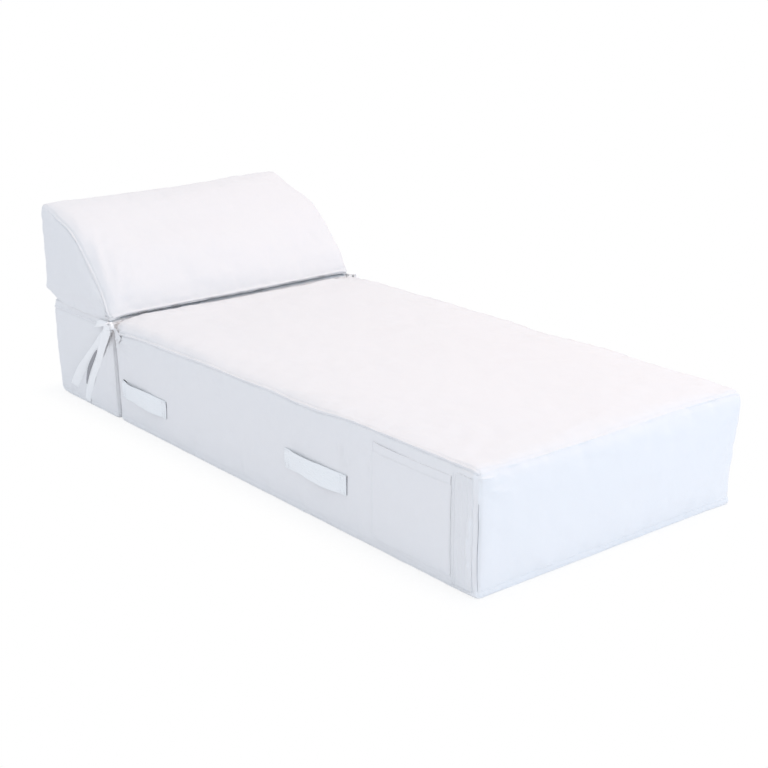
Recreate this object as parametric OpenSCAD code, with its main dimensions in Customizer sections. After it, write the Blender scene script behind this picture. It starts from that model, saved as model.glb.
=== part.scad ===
// Foam divan bed: a long main block, a head block and a wedge bolster, each in a zipped canvas
// cover, tied together with tapes along the edge where all three meet.
// Millimetres. +X points to the foot, +Y to the far side, +Z up. The origin is on the floor,
// under the middle of the whole bed.

/* [Bed] */
// Width of the bed across its covers
bed_w = 900; // [700:10:1100]
// Length of the main block
main_len = 1620; // [1400:10:1800]
// Length of the head block
head_len = 385; // [340:5:480]
// Height of the main block and the head block
block_h = 310; // [250:5:360]
// Gap between the main block and the head block
joint_gap = 8; // [4:1:16]

/* [Bolster] */
// Depth of the bolster from its front edge to its back
bolster_d = 430; // [360:5:500]
// Height of the bolster's back
bolster_h = 300; // [220:4:340]
// Rise of the bolster's curved front over its straight chord
bolster_bulge = 46; // [20:2:60]
// Running gap under the bolster
bolster_gap = 0.3; // [0.3:0.1:2]

/* [Covers] */
// Radius of the soft edges
edge_r = 16; // [10:1:24]
// Least wall of a cover with its wadding, at the corners
cover_wall = 1.6; // [1:0.2:6]
// Height of the sewn ridge along each seam
seam_ridge = 3; // [1:0.5:4]
// Crown of the main block's top
main_crown = 9; // [3:1:16]
// Crown of the head block's top
head_crown = 3; // [1:1:8]
// Crown of the foot end
foot_crown = 6; // [2:1:12]
// Crown of the head block's rear
rear_crown = 12; // [2:1:20]
// Crown of the bolster's front
bolster_crown = 6; // [2:1:10]
// Wall of the liners inside the covers
liner_wall = 1; // [0.6:0.2:2]
// Thickness of the fabric panels under the blocks
base_wall = 3; // [1:0.5:4]

/* [Foam] */
// Thickness of the soft foam on top of the firm foam
comfort_h = 80; // [40:5:120]

/* [Handles] */
// Width of the webbing
webbing_w = 54; // [30:2:60]
// Thickness of the webbing
webbing_t = 2.4; // [1.6:0.2:4]
// Length of a handle from end to end
handle_len = 260; // [200:5:300]
// Length of each sewn end
handle_end = 24; // [16:2:36]
// How far the middle of a handle stands off the cover
handle_bow = 16; // [16:1:40]
// How far the middle of a handle droops
handle_droop = 5; // [1:1:16]
// Gap from the head end's soft edge to the first handle
handle_inset = 25; // [1:1:40]
// Gap from the second handle to the side pocket's place
handle_to_pocket = 98; // [40:2:160]
// Height of the first handle's middle
head_handle_z = 112; // [100:1:150]
// Height of the second handle's middle
foot_handle_z = 138; // [100:1:160]

/* [Pocket] */
// Width of the side pocket
pocket_w = 290; // [200:5:340]
// Height of the pocket's lower edge over the floor
pocket_low = 32; // [26:1:60]
// Distance from the block's top down to the pocket's mouth
pocket_drop = 28; // [26:1:60]
// Thickness of the pocket's fabric
pocket_wall = 1.6; // [1:0.2:3]
// Room inside the pocket
pocket_room = 6; // [5:0.5:14]
// Width of the hem along the pocket's mouth
hem_w = 22; // [12:1:40]
// Thickness of the hem
hem_t = 1.2; // [0.6:0.2:3]
// Width of the facing between the pocket and the foot
facing_w = 66; // [40:2:90]
// Thickness of the facing
facing_t = 1.4; // [0.8:0.2:3]

/* [Ties] */
// Width of the tie tape
tape_w = 28; // [16:1:36]
// Thickness of the tie tape
tape_t = 1.3; // [0.8:0.1:2]
// Radius of the knot's body
knot_r = 9; // [7:0.5:12]
// How far the knot lies below the blocks' top
knot_drop = 6; // [2:1:12]
// How far back the front tail hangs
front_tail_reach = 185; // [60:5:240]
// Height of the front tail's end over the floor
front_tail_z = 16; // [16:1:120]
// How far back the rear tail hangs
rear_tail_reach = 255; // [80:5:300]
// Height of the rear tail's end over the floor
rear_tail_z = 50; // [20:1:120]

/* [Zips] */
// Length of the main cover's zip
main_zip_len = 1000; // [600:10:1200]
// Distance from each end of the head and bolster zips to the side of the bed
zip_margin = 100; // [60:5:200]
// Distance from one tooth to the next in a row
tooth_pitch = 6; // [4:0.5:8]
// Height of the zips over the soft edge below them
zip_rise = 20; // [18:1:40]
// Length of the pull tab
pull_len = 30; // [20:1:44]

/* [Hidden] */

// Colours
canvas = [0.95, 0.95, 0.96];
tape_colour = [0.98, 0.98, 0.99];
lining = [0.86, 0.82, 0.76];
foam = [0.93, 0.90, 0.78];
zip_white = [0.88, 0.89, 0.90];
nickel = [0.72, 0.73, 0.75];

// Cuts run this far past the faces that they open
cut = 2;
// Gap between two pieces that touch loosely
seat_gap = 0.3;
$fn = 48;

// Zip: two tapes, a row of teeth standing on each, and a slider that hooks under both rows
zip_tape_w = 14;
zip_tape_t = 0.8;
zip_tape_in = 1;
zip_tail = 18;
slit_half = 5;
row_in = 2.2;
row_out = 4.8;
row_lap = 1.1;
bead_w = 1.2;
row_lift = 1.7;
tooth_h = 2.4;
tooth_root_share = 0.14;
tooth_head_share = 0.19;
slider_gap = 0.35;
slider_wall = 1.3;
slider_len = 17;
slider_flare = 1.6;
slider_nose_share = 0.15;
stop_len = 3;
pin_r = 0.9;
pin_gap = 0.15;
ear_t = 1.4;
ear_r = 1.9;
pull_eye_w = 5;
pull_w = 8;
pull_t = 1.6;
pull_hole_r = 1.6;
row_z0 = zip_tape_t + row_lift;
row_z1 = row_z0 + tooth_h;
slider_roof = row_z1 + slider_gap;
slider_top = slider_roof + slider_wall;
slider_half = row_out + slider_gap + slider_wall;
pin_z = slider_top + slider_gap + ear_r;
zip_stand = pin_z + ear_r;

// Places along the bed. The bed's box is centred on the origin.
bed_total = bolster_d + zip_stand + joint_gap / 2 + main_len + foot_crown;
tie_x = bolster_d + zip_stand - bed_total / 2;
main_x0 = tie_x + joint_gap / 2;
main_x1 = main_x0 + main_len;
head_x0 = tie_x - joint_gap / 2 - head_len;
bolster_z = block_h + head_crown + bolster_gap;
side_y = bed_w / 2;
end_zip_len = bed_w - 2 * zip_margin;

// A foam core is cut square. It is set in from the covers' faces by this share of their edges'
// radius as well as by their wall, so that its corners stay inside the soft corners.
core_corner_share = 0.6;
core_inset = cover_wall + core_corner_share * edge_r;
// Distance from the flat underside's edge to the base panel
panel_margin = 12;

// Angles round a soft edge; the seam's ridge is at the middle one
edge_angles = [0, 24, 40, 45, 50, 66, 90];
seam_angle = 45;
// Where the sections along a cover lie, as shares of its half length
ring_shares = [-0.95, -0.8, -0.45, 0, 0.45, 0.8, 0.95];
// Where the points across a block's top lie, as shares of its half width
top_shares = [0.92, 0.7, 0.4, 0, -0.4, -0.7, -0.92];
// Where the rings on a crowned end lie, as shares of the section. Outside the first it is flat.
cap_shares = [0.68, 0.5, 0.25];

// The corners of a flat end keep this share of the edge's radius
flat_share = 0.08;

function bump(t, power) = 1 - pow(abs(t), power);

// An outline point is [centre of its round, outward normal, 1 on a seam, share of the crown]
function soft_corner(centre, first_angle, last_angle, seam) = [
    for (a = edge_angles)
        let (turn = first_angle + (last_angle - first_angle) * a / 90)
        [centre, [cos(turn), sin(turn)], a == seam_angle ? seam : 0, 0]
];

// Section of a block across the bed: [Y, Z], anticlockwise
function block_outline() =
    let (y = side_y - edge_r, low = edge_r, high = block_h - edge_r)
    concat(
        soft_corner([y, low], 270, 360, 1),
        soft_corner([y, high], 0, 90, 1),
        [for (s = top_shares) [[s * y, high], [0, 1], 0, bump(s, 4)]],
        soft_corner([-y, high], 90, 180, 1),
        soft_corner([-y, low], 180, 270, 1)
    );

// The bolster's curved front is an arc from its front edge to the top of its back
bolster_chord = norm([bolster_d, bolster_h]);
bolster_arc_r = pow(bolster_chord, 2) / (8 * bolster_bulge) + bolster_bulge / 2;
bolster_normal = [bolster_h, bolster_d] / bolster_chord;
bolster_centre = [-bolster_d, bolster_h] / 2 - (bolster_arc_r - bolster_bulge) * bolster_normal;
// The lower back edge is cut off at a slant
slant_d = 74;
slant_h = 22;
slant_turn = atan2(slant_h, slant_d);
arc_steps = 9;
// The round at the front edge, and the angles at which the arc starts and ends
round_r = bolster_arc_r - edge_r;
arc_first = asin((edge_r - bolster_centre[1]) / round_r);
arc_last = acos((edge_r - bolster_d - bolster_centre[0]) / round_r);
nose = bolster_centre + round_r * [cos(arc_first), sin(arc_first)];
crest = bolster_centre + round_r * [cos(arc_last), sin(arc_last)];

// Section of the bolster along the bed: [X, Z] from its front lower edge, anticlockwise. Its
// front edge turns on the head block and has no ridge.
function bolster_outline() =
    let (back = edge_r - bolster_d)
    concat(
        soft_corner(nose, -90, arc_first, 0),
        [for (k = [1:arc_steps - 1])
            let (s = k / arc_steps, turn = arc_first + (arc_last - arc_first) * s)
            [bolster_centre + round_r * [cos(turn), sin(turn)], [cos(turn), sin(turn)], 0,
                bump(2 * s - 1, 4)]],
        soft_corner(crest, arc_last, 180, 1),
        soft_corner([back, edge_r + slant_h], 180, 270 - slant_turn, 1),
        [[[back + slant_d, edge_r], [-sin(slant_turn), -cos(slant_turn)], 0, 0],
            [[back + slant_d, edge_r], [0, -1], 0, 0]]
    );

// A ring of points over an outline. It lies at w along the cover, with the edge's round
// turned by turn, and its flat part is shrunk towards the middle for a crowned end.
function ring(outline, middle, w, turn, lift, shrink, crown) = [
    for (p = outline)
        let (
            ridge = max(p[2] * cos(turn), lift) * seam_ridge,
            out = (edge_r + ridge) * max(cos(turn), flat_share) + crown * p[3],
            flat = middle + (p[0] - middle) * shrink + p[1] * out
        )
        [flat[0], flat[1], w + ridge * sin(turn)]
];

function end_rings(outline, middle, len, swell) = concat(
    [for (a = edge_angles)
        ring(outline, middle, len / 2 - edge_r * (1 - sin(a)), a, a == seam_angle ? 1 : 0, 1, 0)],
    swell > 0
        ? [for (s = cap_shares)
            ring(outline, middle, len / 2 + swell * bump(s / cap_shares[0], 2), 90, 0, s, 0)]
        : []
);

function turned(rings) = [
    for (k = [len(rings) - 1:-1:0]) [for (p = rings[k]) [p[0], p[1], -p[2]]]
];

// Every ring of a cover, from one end to the other. swells are the crowns of its two ends.
function cover_rings(outline, middle, len, swells, crown) = concat(
    turned(end_rings(outline, middle, len, swells[0])),
    [for (s = ring_shares)
        ring(outline, middle, s * (len / 2 - edge_r), 0, 0, 1, crown * bump(s, 4))],
    end_rings(outline, middle, len, swells[1])
);

// A closed skin over rings of equally many points, with a fan on a point at each end
module skin(rings, first, last) {
    n = len(rings[0]);
    m = len(rings);
    points = concat([first], [for (ring = rings) each ring], [last]);
    top = 1 + n * (m - 1);
    faces = concat(
        [for (i = [0:n - 1]) [0, 1 + i, 1 + (i + 1) % n]],
        [for (k = [0:m - 2], i = [0:n - 1])
            let (a = 1 + n * k + i, b = 1 + n * k + (i + 1) % n)
            each [[a, a + n, b + n], [a, b + n, b]]],
        [for (i = [0:n - 1]) [n * m + 1, top + (i + 1) % n, top + i]]
    );
    polyhedron(points = points, faces = faces);
}

module cover_shape(outline, middle, len, swells, crown) {
    skin(
        cover_rings(outline, middle, len, swells, crown),
        [middle[0], middle[1], -len / 2 - swells[0]],
        [middle[0], middle[1], len / 2 + swells[1]]
    );
}

// A box between two corners
module span(low, high) {
    translate(low) cube(high - low);
}

// Near side: X stays, Y is up and Z is outward. The far side is its mirror image.
module on_near() {
    translate([0, -side_y, 0]) rotate([90, 0, 0]) children();
}

module on_far() {
    mirror([0, 1, 0]) on_near() children();
}

module on_both() {
    on_near() children();
    on_far() children();
}

// Blocks

module block_shape(x0, len, swells, crown) {
    translate([x0 + len / 2, 0, 0]) rotate([90, 0, 90])
        cover_shape(block_outline(), [0, block_h / 2], len, swells, crown);
}

module block_core(x0, len, inset, low, high) {
    span([x0 + inset, inset - side_y, low], [x0 + len - inset, side_y - inset, high]);
}

module block_panel(x0, len, below) {
    inset = edge_r + panel_margin;
    block_core(x0, len, inset, -below, base_wall);
}

// A cover without its zip's slit
module block_shell(x0, len, swells, crown) {
    difference() {
        block_shape(x0, len, swells, crown);
        block_core(x0, len, core_inset, core_inset, block_h - core_inset);
        block_panel(x0, len, cut);
    }
}

module block_liner(x0, len) {
    inner = core_inset + liner_wall;
    color(lining) difference() {
        block_core(x0, len, core_inset, core_inset, block_h - core_inset);
        block_core(x0, len, inner, inner, block_h - inner);
    }
}

module block_foam(x0, len, low, high) {
    color(foam) block_core(x0, len, core_inset + liner_wall, low, high);
}

foam_z0 = core_inset + liner_wall;
foam_z1 = block_h - foam_z0;
comfort_z = foam_z1 - comfort_h;

module main_support_foam() { block_foam(main_x0, main_len, foam_z0, comfort_z); }
module main_comfort_foam() { block_foam(main_x0, main_len, comfort_z, foam_z1); }
module main_liner() { block_liner(main_x0, main_len); }
module main_cover() {
    color(canvas) difference() {
        block_shell(main_x0, main_len, [0, foot_crown], main_crown);
        at_main_zip() zip_slit(main_zip_len);
    }
}

module main_base_panel() { color(lining) block_panel(main_x0, main_len, 0); }

module head_support_foam() { block_foam(head_x0, head_len, foam_z0, comfort_z); }
module head_comfort_foam() { block_foam(head_x0, head_len, comfort_z, foam_z1); }
module head_liner() { block_liner(head_x0, head_len); }
module head_cover() {
    color(canvas) difference() {
        block_shell(head_x0, head_len, [rear_crown, 0], head_crown);
        at_head_zip() zip_slit(end_zip_len);
    }
}

module head_base_panel() { color(lining) block_panel(head_x0, head_len, 0); }

// Bolster

module at_bolster() {
    translate([tie_x, 0, bolster_z]) rotate([90, 0, 0]) children();
}

// The bolster's section, set in from its faces
module bolster_core(inset) {
    c = edge_r - inset;
    back = -bolster_d + inset;
    low_back = [back, edge_r + slant_h - c * tan(45 - slant_turn / 2)];
    low_front = [edge_r - bolster_d + slant_d - c * tan(slant_turn / 2), inset];
    at_bolster() linear_extrude(bed_w - 2 * inset, center = true) intersection() {
        polygon([low_back, low_front, [0, inset], [0, bolster_h], [back, bolster_h]]);
        translate(bolster_centre) circle(bolster_arc_r - inset, $fn = 720);
    }
}

module bolster_foam() { color(foam) bolster_core(core_inset + liner_wall); }

module bolster_liner() {
    color(lining) difference() {
        bolster_core(core_inset);
        bolster_core(core_inset + liner_wall);
    }
}

module bolster_cover() {
    middle = [-bolster_d * 2 / 3, bolster_h / 3];
    color(canvas) difference() {
        at_bolster() cover_shape(bolster_outline(), middle, bed_w, [0, 0], bolster_crown);
        bolster_core(core_inset);
        at_bolster_zip() zip_slit(end_zip_len);
    }
}

// Zips. X runs along the zip, Y across it and Z out of the cover. The slider is shut at +X.

module both_rows() {
    children();
    mirror([0, 1, 0]) children();
}

// The cover is open behind the tapes
module zip_slit(len) {
    span([-len / 2, -slit_half, -core_inset - cut], [len / 2, slit_half, cut]);
}

module zip_tapes(len) {
    half = len / 2 + zip_tail;
    color(canvas) both_rows()
        span([-half, zip_tape_in, 0], [half, zip_tape_in + zip_tape_w, zip_tape_t]);
}

// One row: a spine with teeth whose heads are wider than their roots
function row_outline(len, shift) =
    let (
        count = floor(len / tooth_pitch) - 1,
        root = tooth_root_share * tooth_pitch,
        head = tooth_head_share * tooth_pitch
    )
    concat(
        [for (k = [0:count - 1])
            let (x = shift - len / 2 + (k + 0.5) * tooth_pitch)
            each [[x - root, row_in], [x - head, -row_lap], [x + head, -row_lap],
                [x + root, row_in]]],
        [[len / 2, row_in], [len / 2, row_out], [-len / 2, row_out], [-len / 2, row_in]]
    );

module zip_row(len, shift) {
    translate([0, 0, row_z0]) linear_extrude(tooth_h) polygon(row_outline(len, shift));
    span([-len / 2, row_in, zip_tape_t], [len / 2, row_in + bead_w, row_z0]);
}

module zip_teeth(len) {
    color(zip_white) {
        zip_row(len, 0);
        mirror([0, 1, 0]) zip_row(len, tooth_pitch / 2);
    }
}

module zip_stops(len) {
    color(nickel) {
        both_rows() span([len / 2, row_in, zip_tape_t], [len / 2 + stop_len, row_out, slider_top]);
        span([-len / 2 - stop_len, -row_out, zip_tape_t], [-len / 2, row_out, slider_top]);
    }
}

module slider_outline() {
    half = slider_len / 2;
    wide = slider_half + slider_flare;
    waist = slider_nose_share * slider_len;
    polygon([[-half, -slider_half], [waist, -wide], [half, -slider_half], [half, slider_half],
        [waist, wide], [-half, slider_half]]);
}

// The slider's roof and sides stand round the rows, and its lips reach under them. Two ears
// hold the pull's pin.
module slider_body() {
    long = slider_len / 2 + cut;
    channel = row_out + slider_gap;
    lip = row_in + bead_w + slider_gap;
    ear_y = pull_eye_w / 2 + slider_gap;
    difference() {
        translate([0, 0, zip_tape_t + slider_gap])
            linear_extrude(slider_top - zip_tape_t - slider_gap) slider_outline();
        span([-long, -channel, row_z0 - slider_gap], [long, channel, slider_roof]);
        span([-long, -lip, 0], [long, lip, row_z0]);
    }
    both_rows() {
        span([-ear_r, ear_y, slider_roof + slider_wall / 2], [ear_r, ear_y + ear_t, pin_z]);
        translate([0, ear_y + ear_t, pin_z]) rotate([90, 0, 0]) cylinder(ear_t, r = ear_r);
    }
    translate([0, ear_y + ear_t / 2, pin_z]) rotate([90, 0, 0])
        cylinder(2 * ear_y + ear_t, r = pin_r);
}

// The tab lies back over the closed teeth
module pull_body() {
    neck = ear_r + slider_gap;
    wide = pull_w / 2;
    difference() {
        union() {
            translate([0, pull_eye_w / 2, pin_z]) rotate([90, 0, 0])
                cylinder(pull_eye_w, r = ear_r);
            translate([0, 0, pin_z - pull_t / 2]) linear_extrude(pull_t) {
                polygon([[0, -pull_eye_w / 2], [0, pull_eye_w / 2], [-neck, pull_eye_w / 2],
                    [-neck - wide, wide], [wide - pull_len, wide], [wide - pull_len, -wide],
                    [-neck - wide, -wide], [-neck, -pull_eye_w / 2]]);
                translate([wide - pull_len, 0]) circle(wide);
            }
        }
        translate([0, pull_eye_w, pin_z]) rotate([90, 0, 0])
            cylinder(2 * pull_eye_w, r = pin_r + pin_gap);
        translate([wide - pull_len, 0, pin_z - pull_t]) cylinder(2 * pull_t, r = pull_hole_r);
    }
}

module at_shut(len) {
    translate([(len - slider_len) / 2 - slider_gap, 0, 0]) children();
}

module zip_slider(len) {
    color(nickel) at_shut(len) slider_body();
}

module zip_pull(len) {
    color(nickel) at_shut(len) pull_body();
}

// The main cover's zip is on its far side; the other two are on their covers' rear faces
module at_main_zip() {
    translate([main_x0 + main_len / 2, side_y, edge_r + zip_rise]) rotate([90, 0, 180])
        children();
}

module at_head_zip() {
    translate([head_x0, 0, edge_r + zip_rise]) rotate([90, 0, -90]) children();
}

module at_bolster_zip() {
    translate([tie_x - bolster_d, 0, bolster_z + slant_h + edge_r + zip_rise])
        rotate([90, 0, -90]) children();
}

module main_zip_tapes() { at_main_zip() zip_tapes(main_zip_len); }
module main_zip_teeth() { at_main_zip() zip_teeth(main_zip_len); }
module main_zip_stops() { at_main_zip() zip_stops(main_zip_len); }
module main_zip_slider() { at_main_zip() zip_slider(main_zip_len); }
module main_zip_pull() { at_main_zip() zip_pull(main_zip_len); }

module head_zip_tapes() { at_head_zip() zip_tapes(end_zip_len); }
module head_zip_teeth() { at_head_zip() zip_teeth(end_zip_len); }
module head_zip_stops() { at_head_zip() zip_stops(end_zip_len); }
module head_zip_slider() { at_head_zip() zip_slider(end_zip_len); }
module head_zip_pull() { at_head_zip() zip_pull(end_zip_len); }

module bolster_zip_tapes() { at_bolster_zip() zip_tapes(end_zip_len); }
module bolster_zip_teeth() { at_bolster_zip() zip_teeth(end_zip_len); }
module bolster_zip_stops() { at_bolster_zip() zip_stops(end_zip_len); }
module bolster_zip_slider() { at_bolster_zip() zip_slider(end_zip_len); }
module bolster_zip_pull() { at_bolster_zip() zip_pull(end_zip_len); }

// Handles. A band of webbing is sewn flat at both ends, folded double there, and stands off
// the cover between them.

handle_steps = 18;

function handle_ring(x, low, high, sag) =
    let (half = webbing_w / 2)
    [[-half - sag, low, x], [half - sag, low, x], [half - sag, high, x], [-half - sag, high, x]];

function handle_rings() =
    let (
        half = handle_len / 2,
        free = half - handle_end - webbing_t,
        double = 2 * webbing_t
    )
    concat(
        [handle_ring(-half, 0, double, 0), handle_ring(handle_end - half, 0, double, 0)],
        [for (k = [0:handle_steps])
            let (s = k / handle_steps, rise = pow(sin(180 * s), 2))
            handle_ring((2 * s - 1) * free, webbing_t + handle_bow * rise,
                double + handle_bow * rise, handle_droop * rise)],
        [handle_ring(half - handle_end, 0, double, 0), handle_ring(half, 0, double, 0)]
    );

module handle(x, z) {
    half = handle_len / 2;
    color(tape_colour) translate([x, z, 0]) rotate([90, 0, 90])
        skin(handle_rings(), [0, webbing_t, -half], [0, webbing_t, half]);
}

facing_x = main_x1 - edge_r - facing_w;
pocket_gap = 2;
pocket_x1 = facing_x - pocket_gap;
pocket_x0 = pocket_x1 - pocket_w;
head_handle_x = main_x0 + edge_r + handle_inset + handle_len / 2;
foot_handle_x = pocket_x0 - handle_to_pocket - handle_len / 2;

module near_head_handle() { on_near() handle(head_handle_x, head_handle_z); }
module near_foot_handle() { on_near() handle(foot_handle_x, foot_handle_z); }
module far_head_handle() { on_far() handle(head_handle_x, head_handle_z); }
module far_foot_handle() { on_far() handle(foot_handle_x, foot_handle_z); }

// Pocket on the near side

pocket_h = block_h - pocket_drop - pocket_low;
pocket_corner_r = 14;

module pocket_outline(inset, over) {
    w = pocket_w - 2 * inset;
    r = pocket_corner_r - inset;
    translate([pocket_x0 + inset, pocket_low + inset]) {
        translate([0, r]) square([w, pocket_h - inset - r + over]);
        translate([r, 0]) square([w - 2 * r, r + pocket_wall]);
        for (x = [r, w - r]) translate([x, r]) circle(r);
    }
}

module side_pocket() {
    color(canvas) on_near() difference() {
        linear_extrude(pocket_room + pocket_wall) pocket_outline(0, 0);
        translate([0, 0, -cut]) linear_extrude(pocket_room + cut) pocket_outline(pocket_wall, cut);
    }
}

module pocket_hem() {
    z = pocket_room + pocket_wall;
    mouth = block_h - pocket_drop;
    color(tape_colour) on_near()
        span([pocket_x0, mouth - hem_w, z], [pocket_x1, mouth, z + hem_t]);
}

module corner_facing() {
    color(canvas) on_near()
        span([facing_x, edge_r, 0], [facing_x + facing_w, block_h - edge_r, facing_t]);
}

// Ties. The knots lie beside the common edge; their tails hang outside the head block.

knot_z = block_h - knot_drop;
knot_neck_r = 4.6;
knot_neck = 6;
strand_share = 0.45;
strand_r = strand_share * knot_r;
wrap_r = knot_r - strand_r;
wrap_step = 1.7 * strand_r;
wrap_z = knot_neck + strand_r;
tab_angle = 45;
tab_reach = 62;
tail_neck_share = 0.4;
tail_steps = 16;
tail_bow = 0.4;
tail_ease = 8;
tail_wave = 2;

module at_knot() {
    translate([tie_x, knot_z, 0]) children();
}

// Two wraps of tape round a core, on a neck that comes out of the joint
module tie_knot() {
    color(tape_colour) at_knot() rotate_extrude() {
        translate([0, seat_gap]) square([knot_neck_r, wrap_z - seat_gap]);
        translate([0, knot_neck]) square([wrap_r, strand_r + wrap_step + strand_r]);
        for (k = [0, 1]) translate([wrap_r, wrap_z + k * wrap_step]) circle(strand_r, $fn = 32);
    }
}

// Middle of a tail at share s of its way down, from the knot
function tail_point(s, reach, drop, out) =
    let (clear = tape_t + seat_gap + tape_t / 2 + tail_wave)
    [
        -reach * ((1 - tail_bow) * s + tail_bow * sin(90 * s)),
        -(knot_r + seat_gap) - drop * s,
        clear + (out - clear) * pow(1 - s, 2) + tail_wave * sin(540 * s)
    ];

function tail_ring(s, reach, drop, out) =
    let (
        step = 0.01,
        ahead = tail_point(min(s + step, 1), reach, drop, out),
        behind = tail_point(max(s - step, 0), reach, drop, out),
        way = [(ahead[0] - behind[0]) * min(1, tail_ease * s), ahead[1] - behind[1]],
        across = [-way[1], way[0], 0] / norm(way),
        wide = tape_w / 2 * min(1, tail_neck_share + 5 * s),
        thick = [0, 0, tape_t / 2],
        middle = tail_point(s, reach, drop, out)
    )
    [middle - wide * across - thick, middle + wide * across - thick,
        middle + wide * across + thick, middle - wide * across + thick];

module tie_tail(reach, end_z, out) {
    drop = knot_z - knot_r - seat_gap - end_z;
    color(tape_colour) at_knot() skin(
        [for (k = [0:tail_steps]) tail_ring(k / tail_steps, reach, drop, out)],
        tail_point(0, reach, drop, out),
        tail_point(1, reach, drop, out)
    );
}

module front_tail() { tie_tail(front_tail_reach, front_tail_z, wrap_z + wrap_step); }
module rear_tail() { tie_tail(rear_tail_reach, rear_tail_z, wrap_z); }

module near_tie_knot() { on_near() tie_knot(); }
module near_tie_front_tail() { on_near() front_tail(); }
module near_tie_rear_tail() { on_near() rear_tail(); }
module far_tie_knot() { on_far() tie_knot(); }
module far_tie_front_tail() { on_far() front_tail(); }
module far_tie_rear_tail() { on_far() rear_tail(); }

// A tape end sewn flat on a block's side. It narrows to the knot's neck, under the wraps.
module block_tab(angle) {
    first = knot_neck_r + seat_gap;
    narrow = knot_neck_r - seat_gap;
    wide = tape_w / 2;
    color(tape_colour) on_both() at_knot() rotate(angle) linear_extrude(tape_t)
        polygon([[first, -narrow], [tab_reach, -wide], [tab_reach, wide], [first, narrow]]);
}

module main_tie_tabs() { block_tab(-tab_angle); }
module head_tie_tabs() { block_tab(tab_angle - 180); }

bolster_tab_shares = [[-0.15, 0], [-1.2, 1], [-1.9, 1], [-1.9, 0]];

module bolster_tie_tabs() {
    color(tape_colour) on_both() translate([tie_x + nose[0], bolster_z + nose[1], 0])
        linear_extrude(tape_t) polygon(tape_w * bolster_tab_shares);
}

main_support_foam();
main_comfort_foam();
main_liner();
main_cover();
main_base_panel();
main_zip_tapes();
main_zip_teeth();
main_zip_stops();
main_zip_slider();
main_zip_pull();
near_head_handle();
near_foot_handle();
far_head_handle();
far_foot_handle();
side_pocket();
pocket_hem();
corner_facing();
head_support_foam();
head_comfort_foam();
head_liner();
head_cover();
head_base_panel();
head_zip_tapes();
head_zip_teeth();
head_zip_stops();
head_zip_slider();
head_zip_pull();
bolster_foam();
bolster_liner();
bolster_cover();
bolster_zip_tapes();
bolster_zip_teeth();
bolster_zip_stops();
bolster_zip_slider();
bolster_zip_pull();
near_tie_knot();
near_tie_front_tail();
near_tie_rear_tail();
far_tie_knot();
far_tie_front_tail();
far_tie_rear_tail();
main_tie_tabs();
head_tie_tabs();
bolster_tie_tabs();
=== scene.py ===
"""Looks of the foam divan bed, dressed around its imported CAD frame.

Shapes are worked out in millimetres in the bed's frame; mesh_object() turns them into metres.
"""

import math

import bmesh
import bpy
import numpy as np
from mathutils import Matrix, Vector


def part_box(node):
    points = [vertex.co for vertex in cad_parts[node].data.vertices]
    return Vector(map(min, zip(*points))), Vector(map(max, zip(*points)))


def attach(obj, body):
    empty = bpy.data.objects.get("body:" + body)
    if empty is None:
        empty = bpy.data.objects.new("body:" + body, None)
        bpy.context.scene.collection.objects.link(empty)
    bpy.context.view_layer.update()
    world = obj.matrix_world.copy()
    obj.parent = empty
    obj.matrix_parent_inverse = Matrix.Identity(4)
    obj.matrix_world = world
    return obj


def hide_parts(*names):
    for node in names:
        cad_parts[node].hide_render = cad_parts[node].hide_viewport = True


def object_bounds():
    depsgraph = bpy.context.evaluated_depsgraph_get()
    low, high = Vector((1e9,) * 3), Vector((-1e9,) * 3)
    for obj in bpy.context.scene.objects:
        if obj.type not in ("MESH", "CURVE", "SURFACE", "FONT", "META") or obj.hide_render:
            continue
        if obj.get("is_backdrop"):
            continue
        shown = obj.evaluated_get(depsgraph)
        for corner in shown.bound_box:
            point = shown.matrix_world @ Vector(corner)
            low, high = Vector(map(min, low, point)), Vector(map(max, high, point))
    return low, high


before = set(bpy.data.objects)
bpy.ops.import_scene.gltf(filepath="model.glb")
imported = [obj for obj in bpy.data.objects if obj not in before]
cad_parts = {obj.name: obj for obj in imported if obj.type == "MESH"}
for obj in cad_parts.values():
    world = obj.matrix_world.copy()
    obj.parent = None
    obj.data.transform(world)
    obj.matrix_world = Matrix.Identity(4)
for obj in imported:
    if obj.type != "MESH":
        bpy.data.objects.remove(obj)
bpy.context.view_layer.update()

MM = 0.001
SEAM_MAP = "weave"  # UV map in metres, along the threads
GROOVE = "groove"  # attribute: how deep in a seam a point lies, where the cloth materials paint shade


def cad(node):
    """Lowest and highest corner of a CAD node, in millimetres."""
    lo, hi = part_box(node)
    return np.array(lo) / MM, np.array(hi) / MM


# Sizes of the CAD part that the looks repeat
SIDE_Y = 450.0
BLOCK_H = 310.0
TIE_X = -594.65
MAIN_X0, MAIN_X1 = -590.65, 1029.35
HEAD_X0, HEAD_X1 = -983.65, -598.65
BOLSTER_Z = 313.3
BOLSTER_D, BOLSTER_H, BOLSTER_BULGE = 430.0, 300.0, 46.0
SLANT_D, SLANT_H = 74.0, 22.0
EDGE_R = 16.0


def smooth(t):
    """0 up to 0, 1 from 1 on, and an even rise between."""
    t = np.clip(t, 0, 1)
    return t * t * (3 - 2 * t)


def ramp(x, start, width):
    """Rises from 0 at start to 1 at start + width."""
    return smooth((x - start) / width)


def bell(x, width):
    """1 at 0, and next to nothing two widths away."""
    return np.exp(-((x / width) ** 2))


def bump(t, power=4):
    """1 in the middle of -1 to 1, and 0 at both ends."""
    return 1 - np.abs(t) ** power


def blur(values, reach):
    """Mean over as many neighbours as reach on both sides."""
    count = 2 * reach + 1
    return np.convolve(np.pad(values, reach, mode="edge"), np.ones(count) / count, "valid")


def unit(v, least=1e-12):
    """Vectors of length 1, or shorter where v is hardly longer than least."""
    return v / (np.linalg.norm(v, axis=-1)[..., None] + least)


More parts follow.
